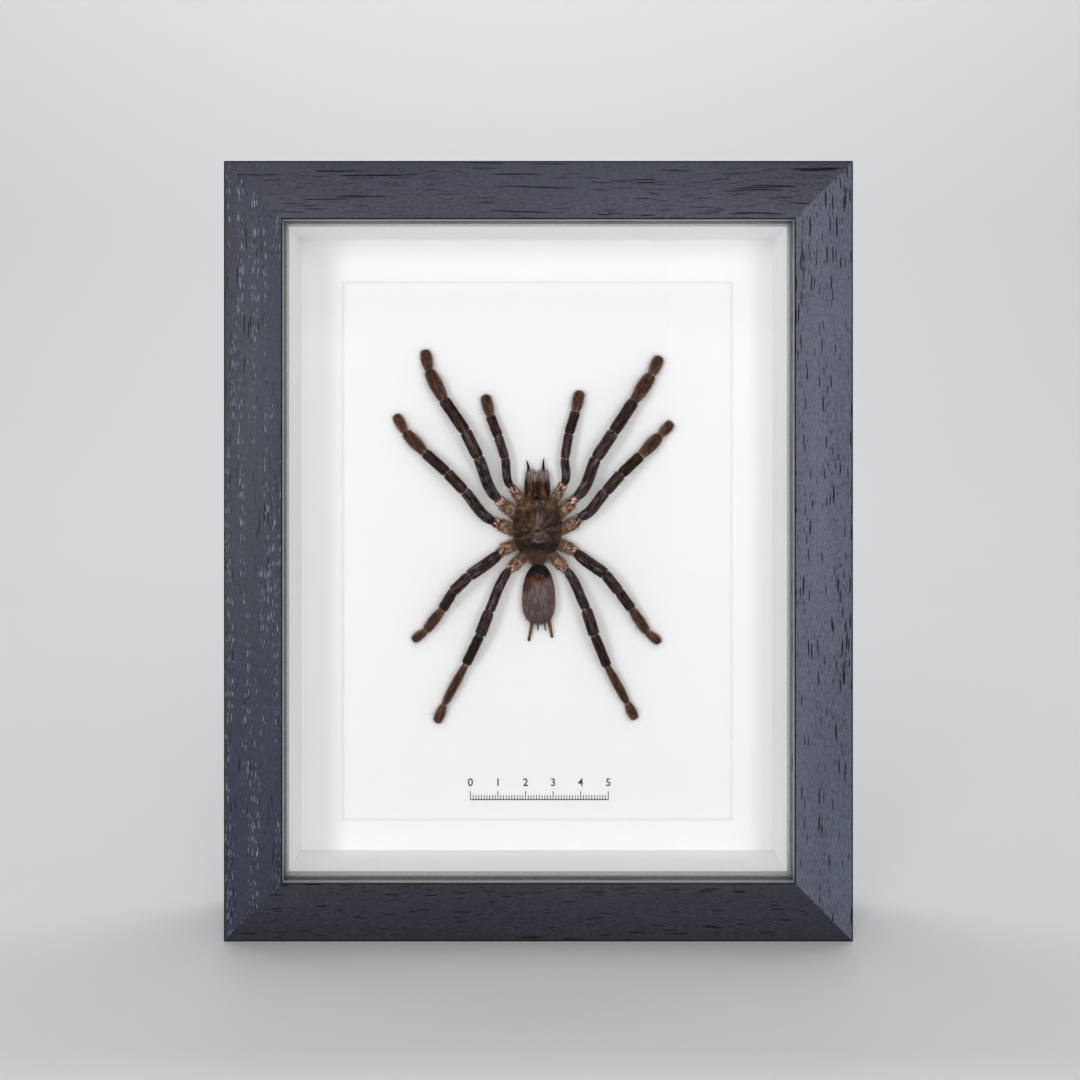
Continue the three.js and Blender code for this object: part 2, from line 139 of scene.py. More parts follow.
# Limbs: the joints from under the carapace to the tip, as (outward, headward), and each segment's width.
LEG_PARTS = ["root", "coxa", "trochanter", "femur", "patella", "tibia", "metatarsus", "tarsus"]
PALP_PARTS = ["root", "coxa", "trochanter", "femur", "patella", "tibia", "tarsus"]
FEMUR = LEG_PARTS.index("femur")
LEG_RISE = [4, 4.2, 5, 5.8, 9.2, 9.4, 5.4, 3, 1.7]
PALP_RISE = [4, 4.4, 5, 5.6, 7.2, 6.6, 4.2, 2]
LIMBS = {
    "leg_1": {
        "bow": 1.1,
        "widths": [4.8, 5, 4.2, 4.4, 4.6, 4.4, 5.1, 4.4],
        "left": [(5.6, 2.2), (8.4, 4.6), (12.4, 8), (13.9, 9.7), (21, 24.5),
                 (25.5, 33.7), (33.4, 45.2), (39, 55.9), (40.6, 63.5)],
        "right": [(5.8, 2.4), (9.1, 5.5), (12.2, 8.4), (13.9, 10.4), (20.8, 24.2),
                  (26.8, 33.3), (34.5, 44.7), (41.1, 54.4), (44.3, 61.1)],
    },
    "leg_2": {
        "bow": 1,
        "widths": [4.8, 5, 4.2, 4.2, 4.3, 4, 4.6, 3.8],
        "left": [(6.4, -2.3), (9.4, -1.2), (13.2, 0.7), (15.6, 1.8), (25.9, 12.6),
                 (31.9, 19), (40.1, 26.2), (47.5, 33.7), (51.1, 40.1)],
        "right": [(6.6, -1.9), (10.6, -0.2), (13.7, 1.6), (15.1, 3.2), (24.2, 12.4),
                  (29.5, 18.5), (36.9, 25.2), (44.2, 32.5), (48.6, 37.3)],
    },
    "leg_3": {
        "bow": -0.2,
        "widths": [4.7, 4.9, 4.2, 4.6, 4.2, 3.7, 3.8, 3.4],
        "left": [(6.4, -5.9), (9.6, -7.3), (12.3, -8.5), (13.7, -9.9), (24.3, -17.5),
                 (29.8, -22.8), (33.9, -29.6), (40.1, -37.6), (44.8, -41.4)],
        "right": [(6.4, -5.7), (9.6, -7.1), (12.3, -8.3), (13.9, -9.4), (24, -16.8),
                  (28.8, -22.8), (33.6, -29.4), (39.4, -38.1), (44.3, -42.1)],
    },
    "leg_4": {
        "bow": 0.6,
        "widths": [4.5, 4.8, 4, 3.8, 4.4, 3.6, 3.2, 3.6],
        "left": [(3.9, -9.4), (6.3, -12.2), (8.7, -14.3), (10.1, -15.6), (17.2, -30.1),
                 (20.3, -38.3), (25.5, -49.3), (33.5, -64.2), (36.3, -71.1)],
        "right": [(3.9, -9.2), (6.7, -12), (9, -14.2), (10.3, -15.6), (17.3, -29.2),
                  (20.2, -38.3), (25, -50), (32.4, -63.7), (35.4, -69.7)],
    },
    "palp": {
        "bow": 0.7,
        "widths": [3.6, 3.9, 3.6, 3.3, 3.5, 3.6, 4.2],
        "left": [(4.6, 6.6), (6.3, 9.8), (7.9, 12.3), (9.5, 14.2), (11.5, 24.2),
                 (13.9, 31.9), (16.8, 39.4), (18.8, 47.2)],
        "right": [(4.6, 6.8), (6.7, 10.2), (8.1, 12.8), (9.5, 15.2), (9.8, 24.2),
                  (11.2, 32.9), (13.7, 40.9), (15.5, 48.7)],
    },
}

# How a segment swells between its joints: (share of its length, share of its width).
COLLARED = [(0, 0.74), (0.02, 0.8), (0.045, 0.96), (0.2, 1), (0.5, 0.98), (0.85, 1), (0.962, 1.03),
            (0.985, 0.82)]
THIGH = [(0, 0.68), (0.03, 0.82), (0.12, 0.94), (0.35, 1), (0.65, 1), (0.9, 1), (0.965, 1.02), (0.987, 0.82)]
SPINDLE = [(0, 0.62), (0.03, 0.72), (0.25, 0.93), (0.5, 1), (0.75, 0.93), (0.95, 0.76), (0.988, 0.62)]
TOE = [(0, 0.58), (0.04, 0.72), (0.25, 0.92), (0.5, 1), (0.75, 0.93), (0.9, 0.74), (0.97, 0.48), (1, 0.22)]
FORMS = {"metatarsus": SPINDLE, "tarsus": TOE, "femur": THIGH}
STATIONS = [0, 0.02, 0.035, 0.05, 0.12, 0.2, 0.3, 0.4, 0.5, 0.6, 0.7, 0.8, 0.88, 0.94, 0.963, 0.975, 0.988]
# Each segment's looks: how pale its hair is, how much pink skin shows, its painted grey sheen, and how thick,
# long and upright its coat is.
LOOKS = {
    "root": (1.3, 0, 0, 1, 0.9, 0.26),
    "coxa": (0.95, 0, 0, 1.1, 0.8, 0.22),
    "trochanter": (0.6, 1, 0, 0.8, 0.5, 0.2),
    "femur": (0, 0, 0.75, 0.9, 0.7, 0.12),
    "patella": (0.04, 0, 0.3, 0.9, 0.8, 0.14),
    "tibia": (0, 0, 0.02, 1, 1, 0.16),
    "metatarsus": (0.36, 0, 0.1, 1.2, 1.1, 0.2),
    "tarsus": (0.5, 0, 0.15, 1.35, 1, 0.22),
}
RINGS = {"patella": 0.3, "tibia": 0.4, "metatarsus": 0.8, "tarsus": 1}  # the pink at the joint before each
LIMB_SIDES = 20
LINE_STEPS = 30  # points on a segment's middle line
PATTERN_STEP = 100  # how far apart in the pattern two limbs lie
LIMB_FLATNESS = 0.88
SKIN_SHARE = 0.89  # the skin's width under the hair
BOW_SCALE = 27 / 4  # makes the greatest value of t (1 - t)^2 come to 1
HEADING_REACH = 1.4  # how far before and behind a ring its heading is taken
HAIR_BEND = 0.1

# ---- The camera: where it stands, and how the picture is shifted on it ----
CAMERA_PLACE = (-5.5, -453.5, 156.3)
CAMERA_LENS = 43.0
CAMERA_SHIFT = (0.0167, -0.062)

# ---- The floor's upward sweep, in metres: where it starts, and its radius ----
SWEEP_START = 1.2
SWEEP = 0.6


# ---- Colours and nodes ----
def srgb(red, green, blue):
    """A colour given as a screen shows it, from 0 to 255, in linear light."""
    shares = (value / 255 for value in (red, green, blue))
    return (*(s / 12.92 if s <= 0.04045 else ((s + 0.055) / 1.055) ** 2.4 for s in shares), 1)


class Value:
    """One output of a node: its first one, or the one picked in []. Arithmetic with it adds maths nodes."""

    def __init__(self, node, key=0):
        self.node = node
        self.key = key

    def __getitem__(self, key):
        return Value(self.node, key)

    def __add__(self, other):
        return maths("ADD", self, other)

    def __sub__(self, other):
        return maths("SUBTRACT", self, other)

    def __rsub__(self, other):
        return maths("SUBTRACT", other, self)

    def __mul__(self, other):
        return maths("MULTIPLY", self, other)

    def __truediv__(self, other):
        return maths("DIVIDE", self, other)

    def __rtruediv__(self, other):
        return maths("DIVIDE", other, self)

    def __abs__(self):
        return maths("ABSOLUTE", self)


def fill(node, inputs):
    """Sets a node's inputs, each to a constant, a Value, or a list of Values that it joins."""
    for key, given in inputs.items():
        for one in given if isinstance(given, list) else [given]:
            if isinstance(one, Value):
                node.id_data.links.new(one.node.outputs[one.key], node.inputs[key])
            else:
                node.inputs[key].default_value = one


def put(kind, inputs, tree=None, **settings):
    """Adds a node with these inputs and settings, to a given tree or to that of a Value among its inputs."""
    tree = tree or next(one.node.id_data for one in inputs.values() if isinstance(one, Value))
    node = tree.nodes.new(kind)
    for name, setting in settings.items():
        setattr(node, name, setting)
    fill(node, inputs)
    return Value(node)


def maths(operation, *values, clamp=False):
    return put("ShaderNodeMath", dict(enumerate(values)), operation=operation, use_clamp=clamp)


def vectors(operation, one, other):
    """A vector and another one, or with SCALE a vector and a factor."""
    inputs = {0: one, "Scale" if operation == "SCALE" else 1: other}
    return put("ShaderNodeVectorMath", inputs, operation=operation)


def greater(one, other):
    return maths("MAXIMUM", one, other)


def axes(vector):
    """A vector's parts, picked as [0], [1] and [2]."""
    return put("ShaderNodeSeparateXYZ", {0: vector})


def combined(x, y=0.0, z=0.0):
    return put("ShaderNodeCombineXYZ", {0: x, 1: y, 2: z})


def blend(share, one, other):
    return put("ShaderNodeMix", {0: share, 6: one, 7: other}, data_type="RGBA")[2]


def painted(colour, coats):
    """A colour under coats of paint, from the lowest to the highest, each a mask and a colour."""
    for mask, over in coats:
        colour = blend(mask, colour, over)
    return colour


def ramp(value, low, high, to_low=0.0, to_high=1.0):
    """Value from low to high, turned smoothly into to_low to to_high."""
    inputs = {"Value": value, "From Min": low, "From Max": high, "To Min": to_low, "To Max": to_high}
    return put("ShaderNodeMapRange", inputs, interpolation_type="SMOOTHSTEP")


def noise(vector, scale, detail=2.0, roughness=0.5):
    """Noise of one scale, or of one for each axis."""
    if isinstance(scale, tuple):
        vector, scale = vectors("MULTIPLY", vector, scale), 1.0
    inputs = {"Vector": vector, "Scale": scale, "Detail": detail, "Roughness": roughness}
    return put("ShaderNodeTexNoise", inputs)


def object_place(tree):
    """Object coordinates in millimetres."""
    return vectors("SCALE", put("ShaderNodeTexCoord", {}, tree)["Object"], 1 / MM)


def attribute(tree, name):
    return put("ShaderNodeAttribute", {}, tree, attribute_name=name)["Fac"]


def bump(height, strength, distance):
    return put("ShaderNodeBump", {"Height": height, "Strength": strength, "Distance": distance * MM})


def new_group(name, kind, inputs, outputs):
    """A new node group and its inputs. A socket is given by its name, its kind and perhaps a first value."""
    tree = bpy.data.node_groups.new(name, kind)
    for in_out, sockets in (("INPUT", inputs), ("OUTPUT", outputs)):
        for label, sort, *first in sockets:
            socket = tree.interface.new_socket(label, in_out=in_out, socket_type="NodeSocket" + sort)
            if first:
                socket.default_value = first[0]
    return tree, Value(tree.nodes.new("NodeGroupInput"))


def new_material(name, constants):
    """A material, its tree and its Principled BSDF, with constants on the shader's own sockets."""
    material = bpy.data.materials.new(name)
    material.use_nodes = True
    shader = material.node_tree.nodes["Principled BSDF"]
    fill(shader, constants)
    return material, material.node_tree, shader


# ---- Effects that several materials use ----
def pore_mask(place, length, width, plenty):
    """Lens-shaped pores along x, each in a cell of its own and of its own size. Plenty is from 0 to 1."""
    narrow = 0.5 / width
    cells = put("ShaderNodeCombineXYZ", {0: 0.5 / length, 1: narrow, 2: narrow}, place.node.id_data)
    found = put("ShaderNodeTexVoronoi", {"Vector": vectors("MULTIPLY", place, cells), "Scale": 1.0})
    chance = put("ShaderNodeSeparateColor", {0: found["Color"]})
    reach = (chance * 0.24 + 0.1) * plenty
    return ramp(found["Distance"], reach * 0.75, reach, 1.0, 0.0)


def open_grain_group():
    """Pores, pale flecks and fine fibres of stained open-grain wood, along x. The place is in millimetres."""
    inputs = [("Place", "Vector", (0, 0, 0)), ("Pore length", "Float", 9), ("Pore width", "Float", 0.45),
              ("Plenty", "Float", 1), ("Flecks", "Float", 0.3)]
    outputs = [("Pores", "Float"), ("Flecks", "Float"), ("Tone", "Float"), ("Height", "Float")]
    tree, given = new_group("open grain", "ShaderNodeTree", inputs, outputs)
    place, length, width = given["Place"], given["Pore length"], given["Pore width"]
    swayed = vectors("ADD", place, vectors("MULTIPLY", noise(place, 0.03, 1.0)["Color"], (0, 3.0, 3.0)))
    plenty = ramp(noise(swayed, (0.02, 0.16, 0.16), 1.0), 0.36, 0.64, 0.65, 1.2) * given["Plenty"]
    short_pores = pore_mask(swayed, length * 0.3, width * 0.6, plenty)
    pores = greater(pore_mask(swayed, length, width, plenty), short_pores * 0.6)
    patch = ramp(noise(swayed, (0.012, 0.32, 0.32), 1.0), 0.42, 0.6, 0.0, 1.15)
    fine = noise(swayed, (0.7, 3.4, 3.4), 3.0, 0.7)
    broad = noise(place, (0.01, 0.05, 0.05))
    put("NodeGroupOutput", {
        "Pores": pores,
        "Flecks": pore_mask(swayed, 2.2, 0.13, patch) * given["Flecks"],
        "Tone": fine * 0.75 + broad * 0.25,
        "Height": fine * 0.3 - pores,
    })
    return tree


def paper_group():
    """The faint mottle and fibres of white card. The place is in millimetres."""
    inputs = [("Place", "Vector", (0, 0, 0)), ("Mottle", "Float", 0.02)]
    tree, given = new_group("paper", "ShaderNodeTree", inputs, [("Shade", "Float"), ("Height", "Float")])
    fine = noise(given["Place"], 4.0, 4.0, 0.7)
    cloud = noise(given["Place"], 0.03)
    put("NodeGroupOutput", {"Shade": 1 - (fine * 0.5 + cloud * 0.5) * given["Mottle"], "Height": fine})
    return tree


def spider_place(tree):
    """x and y in the spider's own directions, from Object coordinates, in millimetres."""
    parts = axes(object_place(tree))
    return parts[0], parts[2] - SPECIMEN_RISE


def spot(x, y, centre, size):
    """A soft round or oval mask: 1 at the centre, 0 from size outwards."""
    across = (x - centre[0]) / size[0]
    along = (y - centre[1]) / size[1]
    return ramp(across * across + along * along, 0.25, 1.0, 1.0, 0.0)


# ---- The spider's coats: each gives the colour of skin and hair of a tone ----
def toned(colour, tone, clump, low, high):
    """A coat's colour, lighter and darker by hair, and from low to high by tuft."""
    return vectors("SCALE", colour, (tone + 0.5) * ramp(clump, 0.4, 0.6, low, high))


def limb_coat(tree, tone):
    """Dark brown, streaked, with pale and pink places and a painted grey sheen, all of which the skin itself
    marks.
    """
    path = attribute(tree, "path")["Vector"]
    pale = attribute(tree, "pale")
    streak = noise(path, (0.14, 1.3, 1.3), 2.0, 0.6)
    lines = noise(path, (0.3, 1.7, 1.7))
    fuzz = noise(path, (0.7, 1.2, 1.2))
    clump = put("ShaderNodeMix", {0: ramp(pale, 0.6, 0.9), 2: lines, 3: fuzz}, data_type="FLOAT")
    patch = noise(path, (0.4, 0.6, 0.6))
    dark = blend(ramp(streak, 0.42, 0.62), srgb(13, 8, 7), srgb(72, 42, 33))
    tan = blend(ramp(fuzz, 0.4, 0.62), srgb(134, 102, 84), srgb(184, 150, 128))
    tan = blend(ramp(pale, 1.05, 1.3, 0, 0.7), tan, srgb(92, 68, 55))
    rim = ramp(abs(axes(path)[1]), 1.3, 1.85) * maths("MULTIPLY", pale, 1.6, clamp=True)
    pink = blend(ramp(fuzz, 0.42, 0.58), srgb(66, 44, 36), srgb(222, 182, 162))
    colour = painted(dark, [
        (pale * ramp(patch, 0.34, 0.6, 0.4, 1.35), srgb(128, 85, 63)),
        (ramp(pale, 0.8, 1.0), tan),
        # painted sheen: the blue-grey sheen on the femora, painted as colour
        (attribute(tree, "bloom") * ramp(patch, 0.46, 0.66), srgb(92, 84, 94)),
        (rim, srgb(168, 134, 108)),
        (attribute(tree, "blush") * ramp(patch, 0.34, 0.46), pink),
    ])
    return toned(colour, tone, clump, pale * 0.42 + 0.26, pale * -0.7 + 1.95)


def carapace_coat(tree, tone):
    """Brown hair that rays out from the fovea, golden at the front corners and darker behind, with painted
    shade in its grooves and pits, and a right side painted darker and greyer as painted shade and sheen.
    """
    x, y = spider_place(tree)
    across, along = x - FOVEA[0], y - FOVEA[1]
    turn = maths("ARCTAN2", across, along)
    reach = maths("SQRT", across * across + along * along)
    rays = combined(maths("SINE", turn), maths("COSINE", turn), reach * 0.07)
    patch = noise(object_place(tree), 0.5, 3.0, 0.6)
    brown = blend(ramp(patch, 0.36, 0.64), srgb(60, 43, 33), srgb(104, 74, 51))
    corners = greater(spot(x, y, (-4.9, 8.6), (3.4, 3.0)), spot(x, y, (4.4, 8.6), (3.2, 2.8)))
    stripe = spot(x, y, (0.1, 2.4), (0.85, 5.2))
    black_patch = spot(x, y, (0.5, -7.0), (3.8, 1.9))
    bare_patch = spot(x, y, (0.3, -3.2), (2.0, 1.6))
    pale_vee = spot(x, abs(x - 0.5) * -0.42 + y, (0.5, -5.6), (2.9, 0.45))
    # Painted shade: near black in the fovea's pit and at the front of the eye mound.
    pit_shade = greater(spot(x, y, FOVEA, (0.7, 0.6)), spot(x, y, (-0.1, 10.1), (1.3, 0.5)))
    colour = painted(brown, [
        # painted shade in the grooves that ray out from the fovea
        (attribute(tree, "groove"), srgb(30, 22, 20)),
        (corners * 0.75, srgb(146, 108, 74)),
        # The right side painted darker and greyer: painted shade with a painted grey sheen.
        (ramp(x, 1.0, 6.5, 0, 0.45), srgb(72, 60, 60)),
        (ramp(reach, 7.6, 9.6, 0, 0.4), srgb(110, 84, 68)),
        (ramp(y, -3.5, -8.0) * 0.8, srgb(44, 31, 30)),
        (black_patch * 0.9, srgb(26, 27, 32)),
        (stripe * 0.8, srgb(100, 88, 90)),
        (bare_patch * 0.6, srgb(96, 82, 82)),
        (pale_vee * 0.6, srgb(134, 126, 128)),
        (pit_shade, srgb(8, 6, 6)),
    ])
    return toned(colour, tone, noise(rays, 7.0, 3.0, 0.6), 0.52, 1.56)


def abdomen_coat(tree, tone):
    """Grey-brown hair that lies backward, with a black patch and a rusty tuft in front, and painted light on
    the sides that evens out their shade.
    """
    x, y = spider_place(tree)
    place = object_place(tree)
    streak = noise(place, (1.1, 1.1, 0.14), 2.0, 0.6)
    clump = noise(place, (2.4, 2.4, 0.4), 1.0)
    grey = blend(ramp(streak, 0.36, 0.64), srgb(108, 92, 92), srgb(138, 121, 122))
    rusty_side = spot(x, y, (-4.2, -20.0), (3.2, 4.6))
    black_front = spot(x, y, (0.5, -15.0), (7.4, 5.6))
    tuft = spot(x, y, (0.2, -19.2), (3.4, 2.8)) * ramp(clump, 0.44, 0.58)
    colour = painted(grey, [
        # The sides painted lighter: painted light that evens out the shade where they turn away.
        (ramp(abs(x - ABDOMEN["at"][0]), 2.8, 5.2, 0, 0.8), srgb(158, 124, 112)),
        (rusty_side * 0.8, srgb(92, 56, 40)),
        (black_front * 0.97, srgb(9, 4, 2)),
        (tuft * 0.9, srgb(140, 78, 52)),
        (ramp(y, -31.0, -35.0) * 0.4, srgb(112, 88, 78)),
    ])
    return toned(colour, tone, clump, 0.72, 1.3)


def chelicera_coat(tree, tone):
    """Rusty brown hair, streaked lengthwise, that turns grey towards the fangs."""
    _, y = spider_place(tree)
    place = object_place(tree)
    streak = noise(place, (1.5, 1.5, 0.1), 2.0, 0.6)
    clump = noise(place, (2.6, 2.6, 0.25), 1.0)
    base = blend(ramp(streak, 0.42, 0.6), srgb(44, 25, 18), srgb(106, 70, 49))
    tip = blend(ramp(streak, 0.36, 0.62), srgb(150, 134, 127), srgb(208, 194, 186))
    return toned(blend(ramp(streak * 3.0 + y, 16.6, 20.2), base, tip), tone, clump, 0.55, 1.5)


def coat_group(name, coat):
    tree, given = new_group(name + " coat", "ShaderNodeTree", [("Tone", "Float", 0.5)], [("Color", "Color")])
    put("NodeGroupOutput", {"Color": coat(tree, given["Tone"])})
    return tree


GRAIN = open_grain_group()
PAPER = paper_group()
COATS = {
    "limb": coat_group("limb", limb_coat),
    "carapace": coat_group("carapace", carapace_coat),
    "abdomen": coat_group("abdomen", abdomen_coat),
    "chelicera": coat_group("chelicera", chelicera_coat),
}


# ---- Materials ----
def surface(shader, colour, mask, rough, relief=None):
    """Sets a shader's colour, and its roughness and bump, which follow a mask.

    Rough is the least and the greatest roughness. Relief is the bump's strength and its depth.
    """
    fill(shader, {"Base Color": colour, "Roughness": ramp(mask, 0.3, 0.7, *rough)})
    if relief:
        fill(shader, {"Normal": bump(mask, *relief)})


def shaded(colour, *shares):
    """A colour multiplied by one share, or by one for each part."""
    return tuple(np.multiply(colour[:3], shares).tolist()) + (1,)


def black_wood(name, turned, pore_length, pore_width, plenty, flecks, stain_and_light):
    """Blue-black satin-stained open grain, duller and darkened by painted shade on the eased edges, with a
    painted grey sheen on the lip.

    The grain runs along x, or along z if turned.
    """
    material, tree, shader = new_material(name, {"Specular IOR Level": 0.3})
    place = object_place(tree)
    depth = axes(place)[1] - FRONT_Y
    if turned:
        quarter_turn = {"Vector": place, "Angle": math.radians(90)}
        place = put("ShaderNodeVectorRotate", quarter_turn, rotation_type="Y_AXIS")
    grain = put("ShaderNodeGroup", {"Place": place, "Pore length": pore_length, "Pore width": pore_width,
                                    "Plenty": plenty, "Flecks": flecks}, node_tree=GRAIN)
    # Painted shade: the mask of the eased edges, which are painted near black below.
    edge = ramp(depth, 0.004, 0.07) * ramp(depth, 0.85, 0.6)
    stained = blend(ramp(grain["Tone"], 0.36, 0.64), shaded(stain_and_light, 0.72), shaded(stain_and_light, 1.4))
    colour = painted(stained, [
        (grain["Pores"] * 0.9, srgb(14, 13, 17)),
        (grain["Flecks"], srgb(158, 174, 190)),
        # painted shade on the eased edges
        (edge, srgb(6, 5, 7)),
        # painted grey sheen on the lip's inner side, the grey that black wood shows at a grazing view
        (attribute(tree, "lip") * ramp(depth, 3.8, 3.4), srgb(138, 137, 141)),
    ])
    rough = greater(grain["Pores"] * 0.5 + 0.44, edge * 0.9)
    fill(shader, {"Base Color": colour, "Roughness": rough, "Normal": bump(grain["Height"], 0.4, 0.1)})
    return material


def black_strip():
    """A thin satin strip, black, painted mid grey all over as a painted sheen, the grey that black satin shows
    at a grazing view.
    """
    material, tree, shader = new_material("satin black strip", {"Specular IOR Level": 0.6})
    fine = noise(object_place(tree), 2.2, 3.0, 0.6)
    # painted sheen: the strip's black is painted as a mid grey
    surface(shader, blend(fine, srgb(130, 130, 132), srgb(158, 158, 160)), fine, (0.24, 0.36))
    return material


def white_card(name, colour, mottle, inset):
    """White card. If inset is given, it is a little darker inside the pressed plate, with a grey line along
    the plate's edge that is partly painted shade of the pressed groove.
    """
    material, tree, shader = new_material(name, {"Roughness": 0.85, "Specular IOR Level": 0.2})
    place = object_place(tree)
    paper = put("ShaderNodeGroup", {"Place": place, "Mottle": mottle}, node_tree=PAPER)
    base = vectors("SCALE", colour[:3], paper["Shade"])
    if inset:
        parts = axes(place)
        side = abs(parts[0]) - PLATE_WIDTH / 2
        beyond = greater(side, abs(parts[2] - PLATE_RISE) - PLATE_HEIGHT / 2)
        base = blend(maths("LESS_THAN", beyond, 0), base, shaded(colour, 0.975, 0.973, 0.985))
        # A grey line along the plate's edge: painted shade of the pressed groove, and the pressed card's own
        # darker fibres.
        base = blend(ramp(abs(beyond), 0.2, 0.7, PLATE_SHADE, 0.0), base, srgb(120, 120, 124))
    fill(shader, {"Base Color": base, "Normal": bump(paper["Height"], 0.25, 0.02)})
    return material


def clear_glass():
    """Picture glass. All that it doesn't mirror passes straight through, as through any thin pane."""
    constants = {"Base Color": (0.985, 0.995, 0.99, 1), "Roughness": 0.0, "Transmission Weight": 1.0}
    material, tree, shader = new_material("clear glass", {**constants, "IOR": GLASS_IOR})
    path = put("ShaderNodeLightPath", {}, tree)
    mirrored = put("ShaderNodeFresnel", {"IOR": GLASS_IOR}, tree)
    inside = put("ShaderNodeNewGeometry", {}, tree)["Backfacing"]
    open_way = greater(greater(1 - mirrored, inside), greater(path["Is Shadow Ray"], path["Is Diffuse Ray"]))
    clear = put("ShaderNodeBsdfTransparent", {}, tree)
    mixed = put("ShaderNodeMixShader", {0: open_way, 1: Value(shader), 2: clear})
    smear = noise(object_place(tree), 0.02, 3.0, 0.6)
    fill(shader, {"Roughness": ramp(smear, 0.5, 0.8, 0.0, 0.02)})
    fill(tree.nodes["Material Output"], {"Surface": mixed})
    return material


def fibre_board():
    """Brown hardboard: fine short fibres and a few paler ones."""
    material, tree, shader = new_material("brown fibre board", {"Specular IOR Level": 0.25})
    place = object_place(tree)
    fibres = noise(place, (0.9, 0.9, 0.9), 6.0, 0.75)
    flecks = ramp(noise(place, (1.1, 1.1, 3.4)), 0.62, 0.7)
    colour = blend(ramp(fibres, 0.34, 0.66), srgb(112, 78, 50), srgb(158, 120, 84))
    surface(shader, blend(flecks * 0.5, colour, srgb(196, 164, 124)), fibres, (0.62, 0.82), (0.35, 0.08))
    return material


def zinc_steel():
    """Zinc-plated sheet steel: spangled, a little dulled, with rubbed high spots."""
    material, tree, shader = new_material("zinc steel", {"Metallic": 1.0})
    place = object_place(tree)
    spangle = put("ShaderNodeTexVoronoi", {"Vector": place, "Scale": 0.9})["Color"]
    tone = put("ShaderNodeSeparateColor", {0: spangle})
    scuff = noise(place, (4.0, 1.0, 0.4), 4.0, 0.7)
    colour = blend(ramp(tone, 0.1, 0.9), srgb(172, 174, 178), srgb(214, 216, 218))
    colour = blend(ramp(scuff, 0.55, 0.75, 0, 0.4), colour, srgb(150, 147, 142))
    surface(shader, colour, scuff, (0.26, 0.48), (0.15, 0.02))
    return material


def printing_ink():
    """Dark grey ink with fine paler specks."""
    material, tree, shader = new_material("printing ink", {"Specular IOR Level": 0.2})
    speck = noise(object_place(tree), 6.0, 3.0, 0.7)
    surface(shader, blend(ramp(speck, 0.5, 0.75), srgb(40, 40, 42), srgb(76, 76, 78)), speck, (0.6, 0.8))
    return material


def cuticle(coat, tone):
    """The dried skin under the hair, in its coat's colours, dimmer and slightly glossy."""
    material, tree, shader = new_material(coat + " cuticle", {"Specular IOR Level": 0.45})
    colour = put("ShaderNodeGroup", {"Tone": tone}, tree, node_tree=COATS[coat])
    surface(shader, colour, noise(object_place(tree), 1.6, 4.0, 0.65), (0.42, 0.62), (0.4, 0.12))
    return material


def hair(coat, gloss):
    """Hair in its coat's colours. Each hair has a tone of its own."""
    material, tree, shader = new_material(coat + " hair", {"Specular IOR Level": gloss})
    tone = attribute(tree, "tone")
    colour = put("ShaderNodeGroup", {"Tone": maths("POWER", tone, 2.5) * 1.3 + 0.1}, node_tree=COATS[coat])
    fill(shader, {"Base Color": colour, "Roughness": ramp(tone, 0.0, 1.0, 0.32, 0.5)})
    return material


def pale_hair(name, dark, light):
    """Single long hairs, each of its own tone."""
    material, tree, shader = new_material(name, {"Specular IOR Level": 0.4})
    tone = attribute(tree, "tone")
    fill(shader, {"Base Color": blend(tone, dark, light), "Roughness": ramp(tone, 0.0, 1.0, 0.4, 0.55)})
    return material


def black_horn():
    """Smooth hard horn: fangs and eyes."""
    constants = {"Coat Weight": 0.3, "Coat Roughness": 0.1, "Specular IOR Level": 0.6}
    material, tree, shader = new_material("black horn", constants)
    cloud = noise(object_place(tree), 0.9)
    surface(shader, blend(ramp(cloud, 0.35, 0.65), srgb(10, 8, 8), srgb(26, 18, 16)), cloud, (0.14, 0.24))
    return material


def spinneret_skin():
    """Orange-brown, mottled, dark towards the tip."""
    material, tree, shader = new_material("spinneret skin", {"Specular IOR Level": 0.35})
    mottle = noise(object_place(tree), 1.4, 3.0, 0.6)
    colour = blend(ramp(mottle, 0.35, 0.65), srgb(74, 44, 31), srgb(136, 90, 66))
    colour = blend(ramp(attribute(tree, "share"), 0.55, 0.85), colour, srgb(52, 34, 28))
    surface(shader, colour, mottle, (0.45, 0.65))
    return material


# One blue-black stain, painted lighter or darker on each side as light falls: the right stile lightest, as a
# painted sheen, the bottom rail darkest, as painted shade.
WOODS = {
    "rail_bottom": black_wood("bottom rail wood", False, 6, 0.42, 1.0, 0.05, srgb(43, 43, 52)),
    "rail_top": black_wood("top rail wood", False, 24, 0.42, 1.05, 0.08, srgb(56, 58, 71)),
    "stile_left": black_wood("left stile wood", True, 8, 0.34, 0.75, 0.65, srgb(46, 50, 64)),
    "stile_right": black_wood("right stile wood", True, 5, 0.42, 1.2, 0.12, srgb(77, 81, 95)),
}
INK = printing_ink()
SKIN_TONES = {"limb": 0.28, "carapace": 0.32, "abdomen": 0.3, "chelicera": 0.3}
SKINS = {coat: cuticle(coat, tone) for coat, tone in SKIN_TONES.items()}
HAIR_GLOSS = {"limb": 0.14, "carapace": 0.34, "abdomen": 0.24, "chelicera": 0.34}
HAIRS = {coat: hair(coat, gloss) for coat, gloss in HAIR_GLOSS.items()}
LONG_HAIR = pale_hair("long leg hair", srgb(92, 72, 58), srgb(158, 136, 118))
FRINGE_HAIR = pale_hair("fringe hair", srgb(92, 67, 51), srgb(172, 138, 110))
BLACK_HORN = black_horn()
SPINNERET_SKIN = spinneret_skin()


# ---- Meshes ----
def as_object(name, mesh):
    made = bpy.data.objects.new(name, mesh)
    bpy.context.scene.collection.objects.link(made)
    return made


